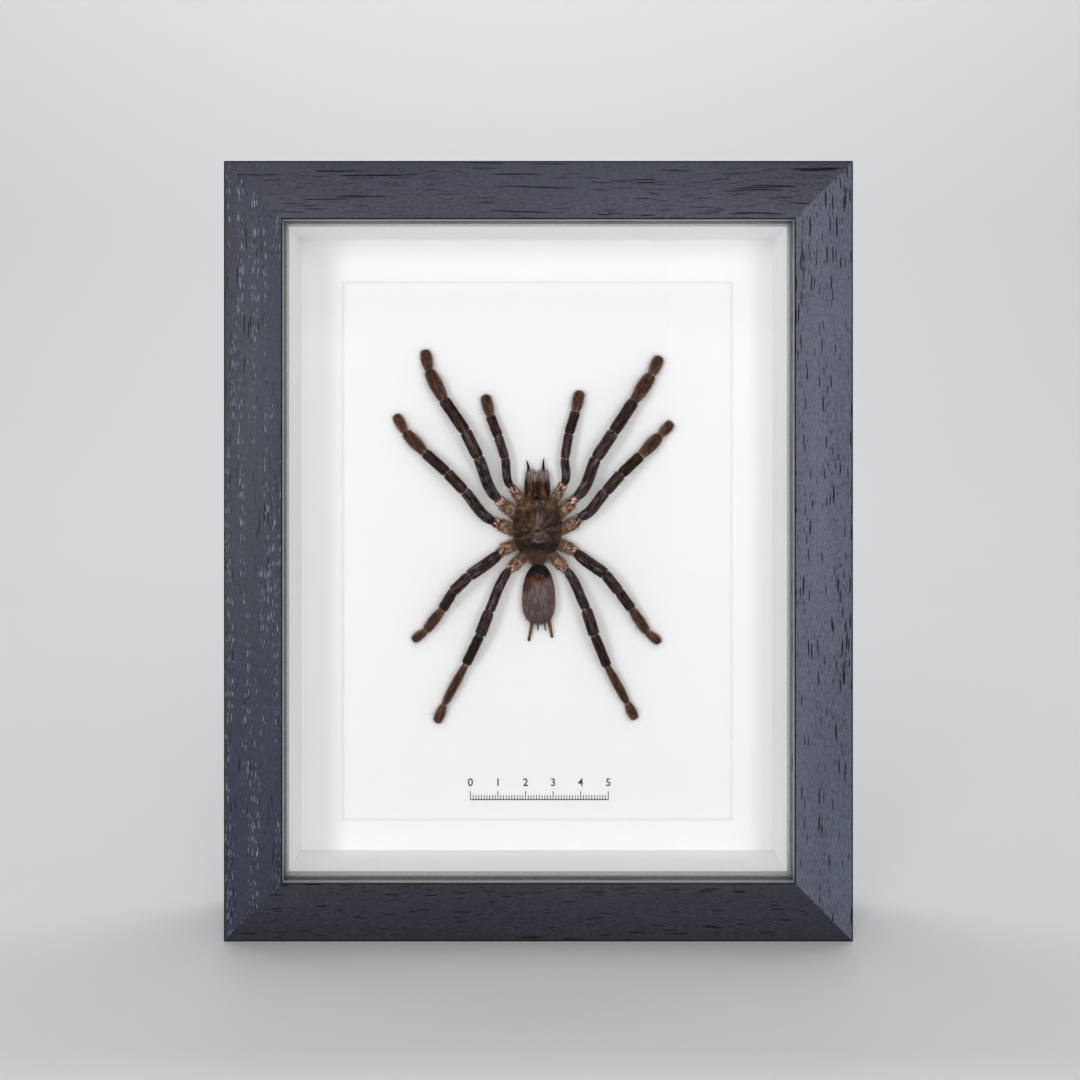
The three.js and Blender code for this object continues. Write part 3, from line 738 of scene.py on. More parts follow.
def volume_sign(points, faces):
    """1 if the faces of a closed mesh look outwards, and -1 if they look inwards."""
    total = 0.0
    for face in faces:
        first = points[face[0]]
        for b, c in zip(face[1:-1], face[2:]):
            total += np.dot(first, np.cross(points[b], points[c]))
    return 1 if total > 0 else -1


def solid(name, points, faces, material, values=None, crease=None, domain="POINT"):
    """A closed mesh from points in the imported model's frame, with values for each point or face."""
    points = np.asarray(points, float)
    if volume_sign(points, faces) < 0:
        faces = [face[::-1] for face in faces]
    mesh = bpy.data.meshes.new(name)
    mesh.from_pydata((points * MM).tolist(), [], faces)
    mesh.materials.append(material)
    mesh.polygons.foreach_set("use_smooth", [True] * len(mesh.polygons))
    if crease is not None:
        mesh.set_sharp_from_angle(angle=math.radians(crease))
    for key, data in (values or {}).items():
        data = np.asarray(data, np.float32)
        kind, field = ("FLOAT_VECTOR", "vector") if data.ndim == 2 else ("FLOAT", "value")
        mesh.attributes.new(key, kind, domain).data.foreach_set(field, data.ravel())
    mesh.update()
    return as_object(name, mesh)


def board_frame(points):
    """Points or directions in the spider's own directions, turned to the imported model's."""
    points = np.asarray(points, float)
    return np.stack([points[:, 0], -points[:, 2], points[:, 1]], axis=1)


def on_board(points):
    """Points in the spider's own directions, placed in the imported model's frame."""
    return board_frame(points) + (0, BOARD_Y, SPECIMEN_RISE)


def ring_faces(rings, sides, first, last):
    """Faces between rings of points laid out one after the other, and fans to the first and last poles."""
    faces = []
    for r in range(rings - 1):
        for i in range(sides):
            a, b = r * sides + i, r * sides + (i + 1) % sides
            faces.append((a, b, b + sides, a + sides))
    base = (rings - 1) * sides
    for i in range(sides):
        j = (i + 1) % sides
        faces += [(first, j, i), (last, base + i, base + j)]
    return faces


def finished(piece, slot, *nodes):
    """Hands a piece over to its body, and hides the nodes it stands for. The slot is not used."""
    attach(piece, BODY)
    if nodes:
        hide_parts(*nodes)
    return piece


# ---- The moulding ----
def moulding_section():
    """The section as (inward, back), once around."""
    rebate = FACE - LIP
    deep = FRAME_DEPTH - BACK_ROUND
    corners = [
        ((OUTER_ROUND, OUTER_ROUND), OUTER_ROUND, 180),
        ((FACE - INNER_ROUND, INNER_ROUND), INNER_ROUND, 270),
        ((rebate - BACK_ROUND, deep), BACK_ROUND, 0),
        ((BACK_ROUND, deep), BACK_ROUND, 90),
    ]
    section = []
    for centre, radius, start in corners:
        if start == 0:
            section += [(FACE, LIP), (rebate, LIP)]
        for step in range(ARC_STEPS + 1):
            turn = math.radians(start + 90 * step / ARC_STEPS)
            section.append((centre[0] + radius * math.cos(turn), centre[1] + radius * math.sin(turn)))
    return section


def mitred(piece_name, side, section, material):
    """A mitred length with this section of (inward, back), on one side of the frame. Its lip is marked."""
    degrees, length, reach = SIDES[side]
    turn = math.radians(degrees)
    points = []
    for end in (-1, 1):
        for inward, back in section:
            along = end * (length / 2 - inward - MITRE_GAP / 2)
            drop = inward - reach
            x = along * math.cos(turn) + drop * math.sin(turn)
            z = -along * math.sin(turn) + drop * math.cos(turn)
            points.append((x, FRONT_Y + back, MID_Z + z))
    count = len(section)
    faces = [(i, (i + 1) % count, count + (i + 1) % count, count + i) for i in range(count)]
    faces += [tuple(range(count))[::-1], tuple(range(count, 2 * count))]
    inward = [min(section[i][0], section[(i + 1) % count][0]) for i in range(count)]
    lip = [float(least > FACE - 0.01) for least in inward] + [0, 0]
    return solid(piece_name, points, faces, material, {"lip": lip}, crease=35, domain="FACE")


def lining(kind, side, front, back, material, slot):
    """A strip or a wall of the box, whose inner face is in line with the moulding's."""
    outer = FACE - LIP + LINING_GAP
    section = [(outer, front), (FACE, front), (FACE, back), (outer, back)]
    where = side.split("_")[1]
    piece = mitred(f"{kind}_{where}_lining", side, section, material)
    finished(piece, slot, f"{kind}_{where}")


# ---- The scale bar ----
def tick_tree():
    """A row of upright ticks on a base line, every tenth of them long."""
    inputs = [("Ticks", "Int", 51), ("Pitch", "Float", 0.001), ("Width", "Float", 0.0002),
              ("Height", "Float", 0.0015), ("Long height", "Float", 0.003), ("Line", "Float", 0.0002),
              ("Thickness", "Float", 0.00003), ("Ink", "Material")]
    tree, given = new_group("scale ticks", "GeometryNodeTree", inputs, [("Geometry", "Geometry")])
    step = combined(given["Pitch"])
    row = put("GeometryNodeMeshLine", {"Count": given["Ticks"], "Offset": step}, mode="OFFSET")
    index = put("GeometryNodeInputIndex", {}, tree)
    tenth = maths("COMPARE", maths("MODULO", index, 10), 0, 0.5)
    high = tenth * (given["Long height"] - given["Height"]) + given["Height"]
    cube = put("GeometryNodeMeshCube", {"Size": (1, 1, 1)}, tree)
    raised = put("GeometryNodeTransform", {"Geometry": cube, "Translation": (0, 0, 0.5)})
    size = combined(given["Width"], given["Thickness"], high)
    ticks = put("GeometryNodeInstanceOnPoints", {"Points": row, "Instance": raised, "Scale": size})
    run = given["Pitch"] * (given["Ticks"] - 1)
    long_side = combined(run + given["Width"], given["Thickness"], given["Line"])
    line = put("GeometryNodeMeshCube", {"Size": long_side})
    middle = combined(run * 0.5, 0, given["Line"] * -0.5)
    line = put("GeometryNodeTransform", {"Geometry": line, "Translation": middle})
    both = put("GeometryNodeJoinGeometry", {0: [ticks, line]}, tree)
    real = put("GeometryNodeRealizeInstances", {0: both})
    put("NodeGroupOutput", {0: put("GeometryNodeSetMaterial", {"Geometry": real, "Material": given["Ink"]})})
    return tree


def evaluated(carrier):
    """The plain mesh of an object with its modifiers."""
    graph = bpy.context.evaluated_depsgraph_get()
    shown = carrier.evaluated_get(graph)
    return bpy.data.meshes.new_from_object(shown, preserve_all_data_layers=True, depsgraph=graph)


def run_tree(name, mesh, tree, values):
    """The plain mesh that a node tree makes of a mesh, with the tree's inputs set by name."""
    carrier = as_object(name, mesh)
    modifier = carrier.modifiers.new(tree.name, "NODES")
    modifier.node_group = tree
    for item in tree.interface.items_tree:
        if item.in_out == "INPUT" and item.name in values:
            modifier[item.identifier] = values[item.name]
    made = evaluated(carrier)
    bpy.data.objects.remove(carrier)
    return made


def scale_bar():
    """A printed centimetre scale under the spider: ticks, a base line and plain numbers."""
    mesh = run_tree("scale_carrier", bpy.data.meshes.new("scale_carrier"), tick_tree(), {
        "Ticks": 10 * SCALE_CENTIMETRES + 1, "Pitch": 1 * MM, "Width": TICK_WIDTH * MM,
        "Height": TICK_HEIGHT * MM, "Long height": LONG_TICK * MM, "Line": LINE_HEIGHT * MM,
        "Thickness": INK_THICKNESS * MM, "Ink": INK,
    })
    mesh.transform(shift_matrix(SCALE_LEFT, BOARD_Y - INK_THICKNESS, SCALE_RISE))
    finished(as_object("scale_ticks", mesh), "mount_board")
    for number in range(SCALE_CENTIMETRES + 1):
        digit(number, SCALE_LEFT + 10 * number)


def shift_matrix(x, y, z):
    return Matrix.Translation(Vector((x, y, z)) * MM)


def digit(number, x):
    """One printed number, centred over its tick."""
    curve = bpy.data.curves.new("digit", "FONT")
    curve.body = str(number)
    curve.align_x = "CENTER"
    curve.size = DIGIT_HEIGHT * MM
    curve.extrude = INK_THICKNESS * MM / 2
    curve.offset = DIGIT_WEIGHT * MM
    curve.resolution_u = 6
    holder = as_object("digit_carrier", curve)
    mesh = evaluated(holder)
    bpy.data.objects.remove(holder)
    mesh.transform(Matrix.Rotation(math.radians(90), 4, "X"))
    mesh.transform(shift_matrix(x, BOARD_Y - INK_THICKNESS, DIGIT_RISE))
    mesh.materials.clear()
    mesh.materials.append(INK)
    finished(as_object(f"scale_number_{number}", mesh), "mount_board")


# ---- The spider's skin ----
def dome(form, rings, sides, relief=None, shape=None):
    """Points and faces of a domed form with a superellipse outline, in the spider's own directions.

    Shape changes the outline, and relief raises and lowers the upper side.
    """
    (cx, cy), (half_x, half_y) = form["at"], form["half"]
    turns = np.linspace(0, 2 * np.pi, sides, endpoint=False)
    lean = np.concatenate([np.linspace(0.04, 0.5, rings), np.linspace(0.54, 0.96, rings // 2)]) * np.pi
    points = []
    for angle in lean:
        spread, rise = math.sin(angle), math.cos(angle)
        u, v = np.cos(turns), np.sin(turns)
        swell = (np.abs(u) ** form["square"] + np.abs(v) ** form["square"]) ** (-1 / form["square"])
        x, y = u * swell * spread, v * swell * spread
        if shape is not None:
            x, y = shape(x, y)
        z = form["margin"] + rise * (form["dome"] if rise > 0 else form["belly"])
        points.append(np.stack([cx + x * half_x, cy + y * half_y, np.full(sides, z)], axis=1))
    points = np.concatenate(points)
    top = np.array([[cx, cy, form["margin"] + form["dome"]]])
    low = np.array([[cx, cy, form["margin"] - form["belly"]]])
    points = np.concatenate([points, top, low])
    if relief is not None:
        upper = points[:, 2] > form["margin"] - 0.2
        points[:, 2] += np.where(upper, relief(points[:, 0], points[:, 1]), 0)
    count = len(lean) * sides
    return points, ring_faces(len(lean), sides, count, count + 1)


def hill(x, y, centre, size):
    """A smooth rise of height 1 around a centre."""
    return np.exp(-(((x - centre[0]) / size[0]) ** 2) - ((y - centre[1]) / size[1]) ** 2)


def groove_share(x, y):
    """1 in the grooves that ray out from the fovea, 0 between them."""
    turn = np.degrees(np.arctan2(x - FOVEA[0], y - FOVEA[1]))
    reach = np.hypot(x - FOVEA[0], y - FOVEA[1])
    share = 0
    for side in (-1, 1):
        for groove, width in ((38, 5), (72, 6), (102, 6), (138, 6)):
            share = share + np.exp(-(((turn - side * groove) / width) ** 2))
    return share * np.clip((reach - 1.2) / 2, 0, 1) * np.clip((9.5 - reach) / 3, 0, 1)


def carapace_relief(x, y):
    """The head's rise, the eye mound, the fovea's pit and the grooves."""
    rise = 0.75 * hill(x, y, (0, 5.2), (4.4, 4.2)) + 1.0 * hill(x, y, EYE_MOUND, (1.5, 0.95))
    return rise - 1.3 * hill(x, y, FOVEA, (1.0, 0.42)) - 0.45 * groove_share(x, y)


def carapace_outline(x, y):
    """Narrower in front, as the head is, and rounder behind."""
    return x * (1 - 0.28 * np.clip(y, 0, 1) ** 2 - 0.3 * np.clip(-y, 0, 1) ** 3), y


def chelicera_outline(x, y):
    """Tapering towards the fang."""
    return x * (1 - 0.09 * (1 + y)), y


def abdomen_outline(x, y):
    """Egg-shaped, fuller behind its middle."""
    return x * (1 - 0.1 * y), y


def abdomen_relief(x, y):
    """Shallow lengthwise wrinkles of the dried skin."""
    return 0.1 * np.sin(2.1 * x + 0.3 * np.sin(0.5 * y)) * np.cos(0.23 * (y + 24.6))


def growth(points, way, coat, fur, lift):
    """What the hair reads from a skin: which way it lies, how thick, long and upright it is."""
    values = {"grow": board_frame(way)}
    for key, value in (("coat", coat), ("fur", fur), ("lift", lift)):
        values[key] = np.broadcast_to(np.asarray(value, float), (len(points),))
    return values


def unit(vectors):
    return vectors / np.maximum(np.linalg.norm(vectors, axis=1, keepdims=True), 1e-9)


def prosoma_skin():
    """The carapace. Its hair rays out from the fovea, and is thin on the stripe and the eye mound."""
    points, faces = dome(CARAPACE, 40, 110, carapace_relief, carapace_outline)
    x, y, z = points.T
    away = np.stack([x - FOVEA[0], y - FOVEA[1] - 0.4, np.zeros(len(x))], axis=1)
    top = z > CARAPACE["margin"] - 0.6
    bare = 1 - 0.85 * hill(x, y, (0.1, 1.8), (0.7, 3.4)) - 0.8 * hill(x, y, FOVEA, (1.4, 1.0))
    bare = bare - 0.75 * hill(x, y, (0.3, -4.4), (3.0, 2.0)) - 0.9 * hill(x, y, EYE_MOUND, (1.2, 0.8))
    edge = np.clip((np.hypot(x / CARAPACE_EDGE[0], y / CARAPACE_EDGE[1]) - 0.75) / 0.25, 0, 1)
    values = growth(points, unit(away), np.where(top, np.clip(bare, 0.05, 1), 0.12), 0.85 - 0.3 * edge, 0.1)
    # How much painted shade the coat gets in the grooves.
    values["groove"] = 0.5 * groove_share(x, y)
    piece = solid("prosoma_skin", on_board(points), faces, SKINS["carapace"], values)
    return finished(piece, "specimen_body", "prosoma")


def abdomen_skin():
    """The abdomen, its hair lying backward, longer at the tuft, the sides and the rear."""
    points, faces = dome(ABDOMEN, 34, 84, abdomen_relief, abdomen_outline)
    x, y, z = points.T
    off = x - ABDOMEN["at"][0]
    back = np.stack([0.05 * off, np.full(len(x), -1.0), np.zeros(len(x))], axis=1)
    top = np.clip((z - 3.2) / 1.5, 0.15, 1)
    rear = np.clip((-y - 29) / 6, 0, 1)
    side = np.clip((np.abs(off) - 3.4) / 2.2, 0, 1)
    tuft = hill(x, y, (0.1, -17.8), (2.2, 1.6))
    fur = 0.75 + 0.2 * rear + 0.15 * side + 0.5 * tuft
    values = growth(points, unit(back), top, fur, 0.12 + 0.12 * rear + 0.1 * side + 0.22 * tuft)
    piece = solid("abdomen_skin", on_board(points), faces, SKINS["abdomen"], values)
    return finished(piece, "specimen_abdomen", "abdomen")


def chelicera_skin(side, sign):
    """One chelicera, its hair lying forward, a little longer at the tip."""
    form = dict(CHELICERA, at=(sign * CHELICERA["at"][0], CHELICERA["at"][1]))
    points, faces = dome(form, 20, 56, shape=chelicera_outline)
    x, y, z = points.T
    ahead = np.stack([np.zeros(len(x)), np.ones(len(x)), np.zeros(len(x))], axis=1)
    tip = np.clip((y - 17) / 3, 0, 1)
    values = growth(points, ahead, np.clip((z - 2) / 1.5, 0.2, 1), 1 + 0.1 * tip, 0.12 + 0.1 * tip)
    piece = solid(f"chelicera_{side}_skin", on_board(points), faces, SKINS["chelicera"], values)
    return finished(piece, "specimen_body", f"chelicera_{side}")


def tube(path, ahead, radii, turns, flatness):
    """A closed tube of changing radius: rings of points around a path, then its two ends."""
    across = unit(np.cross(ahead, (0, 0, 1)))
    up = np.cross(across, ahead) * flatness
    circle = np.cos(turns)[None, :, None] * across[:, None] + np.sin(turns)[None, :, None] * up[:, None]
    rings = path[:, None] + circle * radii[:, None, None]
    points = np.concatenate([rings.reshape(-1, 3), path[:1], path[-1:]])
    count = len(path) * len(turns)
    return points, ring_faces(len(path), len(turns), count, count + 1)


def on_tube(values, sides):
    """Each ring's value, for all the points of a tube."""
    return np.concatenate([np.repeat(values, sides, axis=0), values[:1], values[-1:]])


def sweep(path, radii, sides, flatness=1.0):
    """A tube through points in the spider's own directions, and its headings."""
    ahead = unit(np.gradient(path, axis=0))
    turns = np.linspace(0, 2 * np.pi, sides, endpoint=False) + np.pi / sides
    return *tube(path, ahead, radii, turns, flatness), ahead


def smooth_line(path, count):
    """Points at even shares along a smooth line through a few."""
    path = np.asarray(path, float)
    steps = np.arange(len(path))
    degree = min(3, len(path) - 1)
    at = np.linspace(0, len(path) - 1, count)
    return np.stack([np.polyval(np.polyfit(steps, path[:, k], degree), at) for k in range(3)], axis=1)


def fang(side):
    """A curved, glossy black fang."""
    share = np.linspace(0, 1, 22)
    radii = FANG_RADIUS * np.sqrt(1 - share) * (1 - 0.35 * share) + 0.04
    points, faces, _ = sweep(smooth_line(FANGS[side], len(share)), radii, 18)
    piece = solid(f"fang_{side}", on_board(points), faces, BLACK_HORN)
    return finished(piece, "specimen_body")


def spinneret(name):
    """A jointed, tapering spinneret."""
    radius, path = SPINNERETS[name]
    share = np.linspace(0, 1, 34)
    joints = 1 - sum(0.22 * np.exp(-(((share - joint) / 0.03) ** 2)) for joint in (0.4, 0.72))
    radii = radius * (1 - 0.42 * share) * joints * np.where(share > 0.97, 0.6, 1)
    points, faces, ahead = sweep(smooth_line(path, len(share)), radii, SPINNERET_SIDES)
    values = growth(points, on_tube(ahead, SPINNERET_SIDES), 1.0, 0.8, 0.3)
    values["share"] = on_tube(share, SPINNERET_SIDES)
    piece = solid(f"spinneret_{name}", on_board(points), faces, SPINNERET_SKIN, values)
    return finished(piece, "specimen_abdomen")


def waist():
    """The short stalk between the carapace and the abdomen. Its coat thins backward."""
    radii = np.linspace(*WAIST_RADII, WAIST_RINGS)
    points, faces, ahead = sweep(smooth_line(PEDICEL, WAIST_RINGS), radii, WAIST_SIDES, flatness=0.6)
    way = np.concatenate([np.repeat(-ahead, WAIST_SIDES, axis=0), ahead[:2]])
    coat = np.interp(points[:, 1], (-13.6, -12.2), (0.2, 1.0))
    values = growth(points, way, coat, 1.2, 0.5)
    piece = solid("waist", on_board(points), faces, SKINS["carapace"], values)
    return finished(piece, "specimen_abdomen")


def limb_line(limb, side, sign, rises):
    """The limb's middle line: its points, how far along they are, and where each joint lies."""
    joints = [np.array((sign * out, along, rise)) for (out, along), rise in zip(limb[side], rises)]
    shares = np.linspace(0, 1, LINE_STEPS, endpoint=False)
    points, starts = [], []
    for index, (one, other) in enumerate(zip(joints, joints[1:])):
        way = other - one
        across = np.array((way[1], -way[0], 0)) / math.hypot(way[0], way[1])
        across *= 1 if across[0] * sign > 0 else -1
        bow = limb["bow"] * BOW_SCALE if index == FEMUR else 0
        starts.append(len(points))
        points += [one + way * t + across * bow * t * (1 - t) ** 2 for t in shares]
    starts.append(len(points))
    points = np.array(points + [joints[-1]])
    along = np.concatenate([[0], np.cumsum(np.linalg.norm(np.diff(points, axis=0), axis=1))])
    return points, along, along[starts]


def at_along(points, along, where):
    """The points of a line at these lengths along it."""
    return np.stack([np.interp(where, along, points[:, k]) for k in range(3)], axis=-1)


def limb_stations(limb, parts, marks):
    """For each ring of a limb: how far along it is, its radius, and its looks, pinker and barer at joints."""
    rows = []
    for index, part in enumerate(parts):
        form = FORMS.get(part, COLLARED)
        stations = STATIONS + ([0.995, 1.0] if index == len(parts) - 1 else [])
        for t in stations:
            share = np.interp(t, *zip(*form))
            pale, blush, bloom, coat, fur, lift = LOOKS[part]
            fur *= np.interp(t, (0.8, 0.93, 1), (1, 0.55, 0.3))
            following = parts[index + 1] if index + 1 < len(parts) else None
            ring = RINGS.get(part, 0) if t < 0.03 else RINGS.get(following, 0) if t > 0.98 else 0
            if ring:
                blush, coat = max(blush, ring), coat * 0.35
            end = marks[index] + (marks[index + 1] - marks[index]) * t
            radius = limb["widths"][index] * share / 2 * SKIN_SHARE
            rows.append((end, radius, pale, blush, bloom, coat, fur, lift))
    return np.array(rows).T


def limb_skin(name, side, sign, number):
    """One limb: a closed skin through its segments, with a collar at each joint."""
    limb = LIMBS[name]
    parts, rises = (PALP_PARTS, PALP_RISE) if name == "palp" else (LEG_PARTS, LEG_RISE)
    points, along, marks = limb_line(limb, side, sign, rises)
    where, radii, *looks = limb_stations(limb, parts, marks)
    before, beyond = (at_along(points, along, where + step) for step in (-HEADING_REACH, HEADING_REACH))
    ahead = unit(beyond - before)
    turns = np.linspace(0, 2 * np.pi, LIMB_SIDES, endpoint=False)
    skin, faces = tube(at_along(points, along, where), ahead, radii, turns, LIMB_FLATNESS)
    way, where, pale, blush, bloom, coat, fur, lift = (on_tube(v, LIMB_SIDES) for v in (ahead, where, *looks))
    angle = np.concatenate([np.tile(turns, len(radii)), [0, 0]])
    shown = np.where(np.sin(angle) < -0.35, 0.35, 1)
    values = growth(skin, way, coat * shown, fur, lift)
    values["path"] = np.stack([where + PATTERN_STEP * number, 2 * np.cos(angle), 2 * np.sin(angle)], axis=1)
    values.update(pale=pale, blush=blush, bloom=bloom)
    piece = solid(f"{name}_{side}_skin", on_board(skin), faces, SKINS["limb"], values)
    return finished(piece, "specimen_limbs", f"{name}_{side}")


def eyes():
    """Eight small glossy eyes on their mound."""
    places = [(0.42, 0.55, 0.33), (0.98, 0.62, 0.36), (1.06, -0.28, 0.3), (0.62, -0.36, 0.22)]
    points, faces = [], []
    for side in (-1, 1):
        for out, ahead, radius in places:
            x, y = EYE_MOUND[0] + side * out, EYE_MOUND[1] + ahead
            flat = math.hypot(x / CARAPACE["half"][0], y / CARAPACE["half"][1])
            dome_rise = CARAPACE["dome"] * math.sqrt(max(0, 1 - flat**2))
            top = CARAPACE["margin"] + dome_rise + float(carapace_relief(x, y))
            ball = {"at": (x, y), "half": (radius, radius), "margin": top, "dome": radius, "belly": radius,
                    "square": 2}
            ball_points, ball_faces = dome(ball, 8, 16)
            base = len(points)
            points += list(ball_points)
            faces += [tuple(base + i for i in face) for face in ball_faces]
    return finished(solid("eyes", on_board(points), faces, BLACK_HORN), "specimen_body")


# ---- The hair ----
def coat_tree():
    """Hairs strewn over a skin. Each is a bent three-sided cone that lies along the skin's own growth."""
    inputs = [("Geometry", "Geometry"), ("Hairs per square mm", "Float", 8), ("Length", "Float", 0.001),
              ("Length spread", "Float", 0.3), ("Width", "Float", 0.0001), ("Upright", "Float", 0.0),
              ("Scatter", "Float", 0.2), ("Bend", "Float", 0.2), ("Bones", "Int", 1), ("Seed", "Int", 1),
              ("Hair", "Material")]
    tree, given = new_group("coat", "GeometryNodeTree", inputs, [("Geometry", "Geometry")])

    def read(name, kind="FLOAT"):
        return put("GeometryNodeInputNamedAttribute", {"Name": name}, tree, data_type=kind)["Attribute"]

    def chance(low, high, seed, kind="FLOAT"):
        first, output = (0, 0) if kind == "FLOAT_VECTOR" else (2, 1)
        inputs = {first: low, first + 1: high, "Seed": given["Seed"] + seed}
        return put("FunctionNodeRandomValue", inputs, data_type=kind)[output]

    density = given["Hairs per square mm"] * 1e6 * read("coat")
    strewn = put("GeometryNodeDistributePointsOnFaces",
                 {"Mesh": given["Geometry"], "Density": density, "Seed": given["Seed"]})
    lift = maths("ADD", read("lift"), given["Upright"], clamp=True)
    lying = vectors("SCALE", read("grow", "FLOAT_VECTOR"), 1 - lift)
    standing = vectors("SCALE", strewn["Normal"], lift)
    stray = vectors("SCALE", chance((-1, -1, -1), (1, 1, 1), 1, "FLOAT_VECTOR"), given["Scatter"])
    way = vectors("ADD", vectors("ADD", lying, standing), stray)
    aimed = put("FunctionNodeAlignRotationToVector", {"Vector": way}, axis="Z")
    spin = put("FunctionNodeEulerToRotation", {0: combined(0, 0, chance(0.0, 2 * math.pi, 2))})
    turned = put("FunctionNodeRotateRotation", {0: aimed, 1: spin}, rotation_space="LOCAL")
    spread = given["Length spread"]
    length = given["Length"] * chance(1 - spread, spread + 1, 3) * read("fur")
    cone = put("GeometryNodeMeshCone", {"Vertices": 3, "Side Segments": given["Bones"], "Radius Top": 0.0,
                                        "Radius Bottom": 0.5, "Depth": 1.0})
    up = axes(put("GeometryNodeInputPosition", {}, tree))[2]
    lean = up * up * given["Bend"] * (given["Length"] / given["Width"])
    bent = put("GeometryNodeSetPosition", {"Geometry": cone, "Offset": combined(lean)})
    smooth = put("GeometryNodeSetShadeSmooth", {"Geometry": bent, "Shade Smooth": True})
    hairs = put("GeometryNodeInstanceOnPoints", {
        "Points": strewn["Points"], "Instance": smooth, "Rotation": turned,
        "Scale": combined(given["Width"], given["Width"], length),
    })
    toned_hairs = put("GeometryNodeStoreNamedAttribute",
                      {"Geometry": hairs, "Name": "tone", "Value": chance(0.0, 1.0, 4)},
                      data_type="FLOAT", domain="INSTANCE")
    real = put("GeometryNodeRealizeInstances", {0: toned_hairs})
    put("NodeGroupOutput", {0: put("GeometryNodeSetMaterial", {"Geometry": real, "Material": given["Hair"]})})
    return tree


COAT_TREE = coat_tree()


def grow_hair(skin, name, slot, material, seed, per_mm2, length, width, spread=0.3, upright=0.0,
              scatter=0.1, bones=1):
    """Grows hair on a skin, as a piece of its own. Bones is how many segments each hair bends in."""
    mesh = run_tree(name + "_carrier", skin.data.copy(), COAT_TREE, {
        "Hairs per square mm": float(per_mm2), "Length": length * MM, "Length spread": spread,
        "Width": width * MM, "Upright": upright, "Scatter": scatter, "Bend": HAIR_BEND, "Bones": bones,
        "Seed": seed, "Hair": material,
    })
    mesh.name = name
    return finished(as_object(name, mesh), slot)


# ---- Building it all ----
def build_frame():
    strip = black_strip()
    # The walls are a brighter white than the board: painted light that lifts the walls' shade.
    walls = white_card("white foam board", srgb(250, 250, 251), 0.02, False)
    for side in SIDES:
        finished(mitred(side + "_wood", side, moulding_section(), WOODS[side]), "black_wood", side)
        lining("fillet", side, STRIP_FRONT, WALL_FRONT - TOUCH, strip, "black_strip")
        lining("spacer", side, WALL_FRONT, BOARD_Y - FRONT_Y - TOUCH, walls, "white_spacer")
    board = white_card("mount board", srgb(236, 236, 235), 0.012, True)
    steel = zinc_steel()
    finishes = {
        "glass_pane": clear_glass(),
        "mount_board": board,
        "back_panel": fibre_board(),
        "hanger": steel,
    }
    for name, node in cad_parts.items():
        finish = steel if name.startswith("tab") else finishes.get(name)
        if finish is not None:
            node.data.materials.clear()
            node.data.materials.append(finish)


def build_spider():
    head = prosoma_skin()
    grow_hair(head, "prosoma_hair", "specimen_body", HAIRS["carapace"], 11, 26, 0.85, 0.09)
    grow_hair(head, "prosoma_long_hair", "specimen_body", FRINGE_HAIR, 12, 0.5, 2.6, 0.05,
              upright=0.25, scatter=0.5, bones=3)
    eyes()
    rear = abdomen_skin()
    grow_hair(rear, "abdomen_hair", "specimen_abdomen", HAIRS["abdomen"], 21, 22, 1.2, 0.1, scatter=0.08)
    grow_hair(rear, "abdomen_long_hair", "specimen_abdomen", HAIRS["abdomen"], 22, 1.4, 2.2, 0.06,
              upright=0.12, scatter=0.4, bones=3)
    grow_hair(waist(), "waist_hair", "specimen_abdomen", FRINGE_HAIR, 23, 20, 2.3, 0.07,
              upright=0.1, scatter=0.9, bones=2)
    for index, name in enumerate(SPINNERETS):
        grow_hair(spinneret(name), f"spinneret_{name}_hair", "specimen_abdomen", FRINGE_HAIR, 30 + index,
                  5, 0.9, 0.05, upright=0.1, scatter=0.3, bones=2)
    for number, (side, sign) in enumerate((("left", -1), ("right", 1))):
        jaw = chelicera_skin(side, sign)
        grow_hair(jaw, f"chelicera_{side}_hair", "specimen_body", HAIRS["chelicera"], 41 + number,
                  22, 1.3, 0.1)
        fang(side)
        for place, name in enumerate(LIMBS):
            seed = 50 + 10 * number + place
            limb = f"{name}_{side}"
            skin = limb_skin(name, side, sign, seed)
            grow_hair(skin, limb + "_hair", "specimen_limbs", HAIRS["limb"], seed, 12, 1.2, 0.105)
            grow_hair(skin, limb + "_long_hair", "specimen_limbs", LONG_HAIR, seed + 100, 1.3, 3.2, 0.055,
                      spread=0.4, upright=0.35, scatter=0.4, bones=3)


def area_light(name, place, target, size, power, **visibility):
    """A soft light aimed at a target."""
    lamp = bpy.data.lights.new(name, "AREA")
    lamp.shape = "RECTANGLE"
    lamp.size, lamp.size_y = size
    lamp.energy = power
    made = as_object(name, lamp)
    made.location = place
    made.rotation_euler = (Vector(target) - Vector(place)).to_track_quat("-Z", "Y").to_euler()
    for key, value in visibility.items():
        setattr(made, key, value)


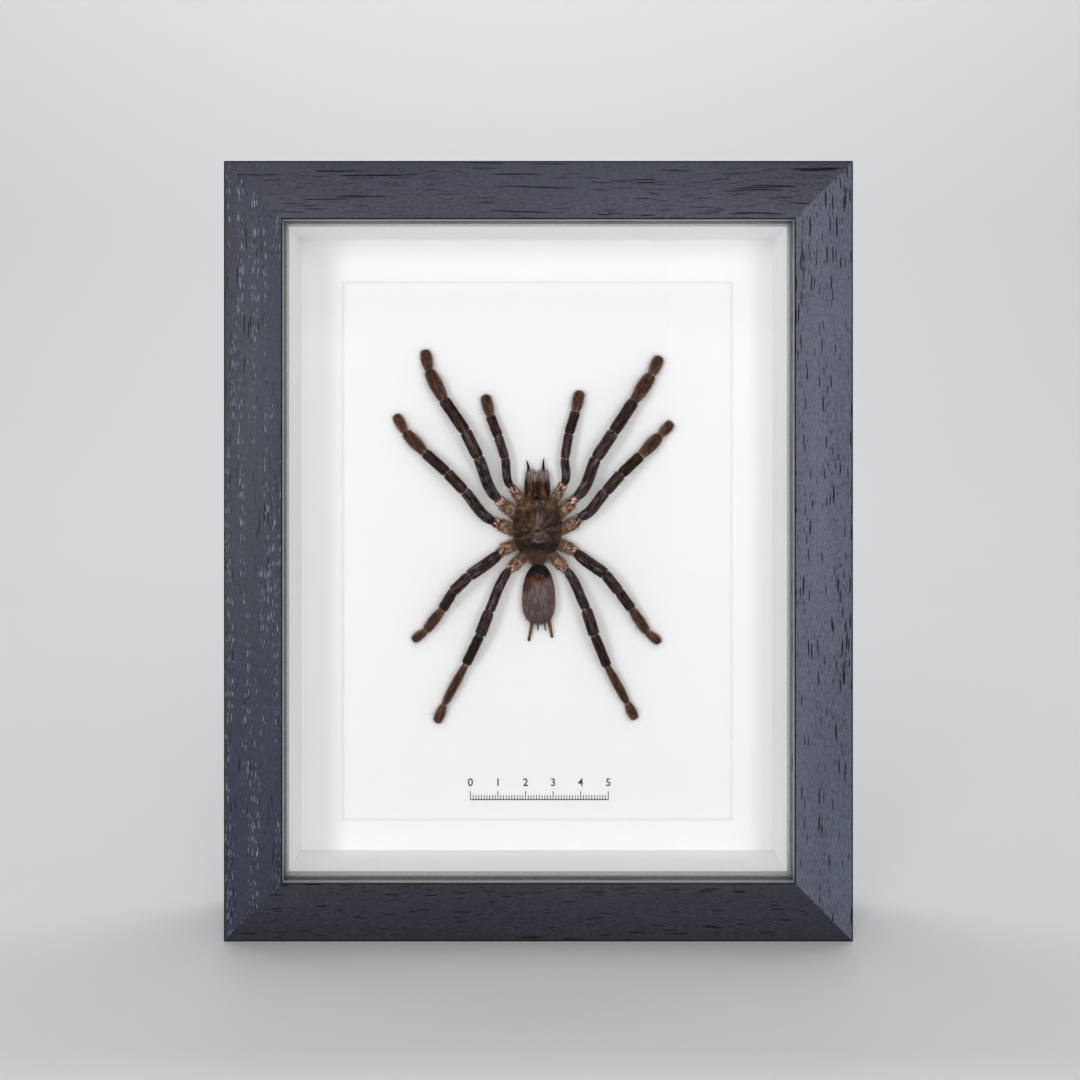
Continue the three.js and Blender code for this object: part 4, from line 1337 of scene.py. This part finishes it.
def build_stage():
    """A pale floor that sweeps up behind, soft lights and a pale sky.

    Rays that are mirrored by the object see the floor in front of it dark, as they would see a dim room.
    """
    curve = [(SWEEP_START + SWEEP * math.sin(t), SWEEP - SWEEP * math.cos(t))
             for t in np.linspace(0.1, math.pi / 2, 12)]
    profile = [(-3, 0), (SWEEP_START, 0), *curve, (SWEEP_START + SWEEP, 3)]
    points = [(x, y, z) for x in (-4, 4) for y, z in profile]
    count = len(profile)
    faces = [(i, i + 1, count + i + 1, count + i) for i in range(count - 1)]
    mesh = bpy.data.meshes.new("floor")
    mesh.from_pydata(points, [], faces)
    material, tree, shader = new_material("pale floor", {"Roughness": 0.6})
    mirror_ray = put("ShaderNodeLightPath", {}, tree)["Is Glossy Ray"]
    depth = axes(put("ShaderNodeTexCoord", {}, tree)["Object"])[1]
    dark = mirror_ray * ramp(depth, 0.0, 0.3, 1.0, 0.0)
    fill(shader, {"Base Color": blend(dark, srgb(232, 232, 234), srgb(60, 60, 64))})
    mesh.materials.append(material)
    mesh.polygons.foreach_set("use_smooth", [True] * len(faces))
    as_object("floor", mesh)
    middle = (0, 0, 0.13)
    area_light("left key", (-0.6, -1.5, 0.3), middle, (0.3, 0.6), 7.3)
    area_light("right key", (0.34, -1.5, 0.3), middle, (0.25, 0.6), 4.5)
    area_light("right sheen", (0.72, -1.55, 0.45), middle, (0.45, 0.9), 1.9)
    area_light("low fill", (0, -0.9, 0.03), (0, 0, 0.2), (0.6, 0.05), 1.1, visible_glossy=False)
    area_light("top fill", (0, -1.0, 1.0), (0, 0, 0.1), (0.6, 0.3), 1.4, visible_glossy=False)
    area_light("backdrop light", (0, 0.7, 2.2), (0, 1.6, 0.3), (3, 0.3), 26,
               visible_glossy=False, visible_camera=False)
    world = bpy.data.worlds.new("pale room")
    bpy.context.scene.world = world
    world.use_nodes = True
    mirror_ray = put("ShaderNodeLightPath", {}, world.node_tree)["Is Glossy Ray"]
    colour = blend(mirror_ray, (0.985, 0.985, 1.0, 1), (0.1, 0.105, 0.115, 1))
    fill(world.node_tree.nodes["Background"], {"Color": colour, "Strength": 0.33})


def build_camera():
    lens = bpy.data.cameras.new("camera")
    lens.lens, lens.sensor_width = CAMERA_LENS, 36
    lens.shift_x, lens.shift_y = CAMERA_SHIFT
    camera = as_object("camera", lens)
    camera.location = Vector(CAMERA_PLACE) * MM
    camera.rotation_euler = (math.radians(90), 0, 0)
    bpy.context.scene.camera = camera
    bpy.context.scene.view_settings.view_transform = "Standard"


build_camera()
build_stage()
build_frame()
scale_bar()
build_spider()
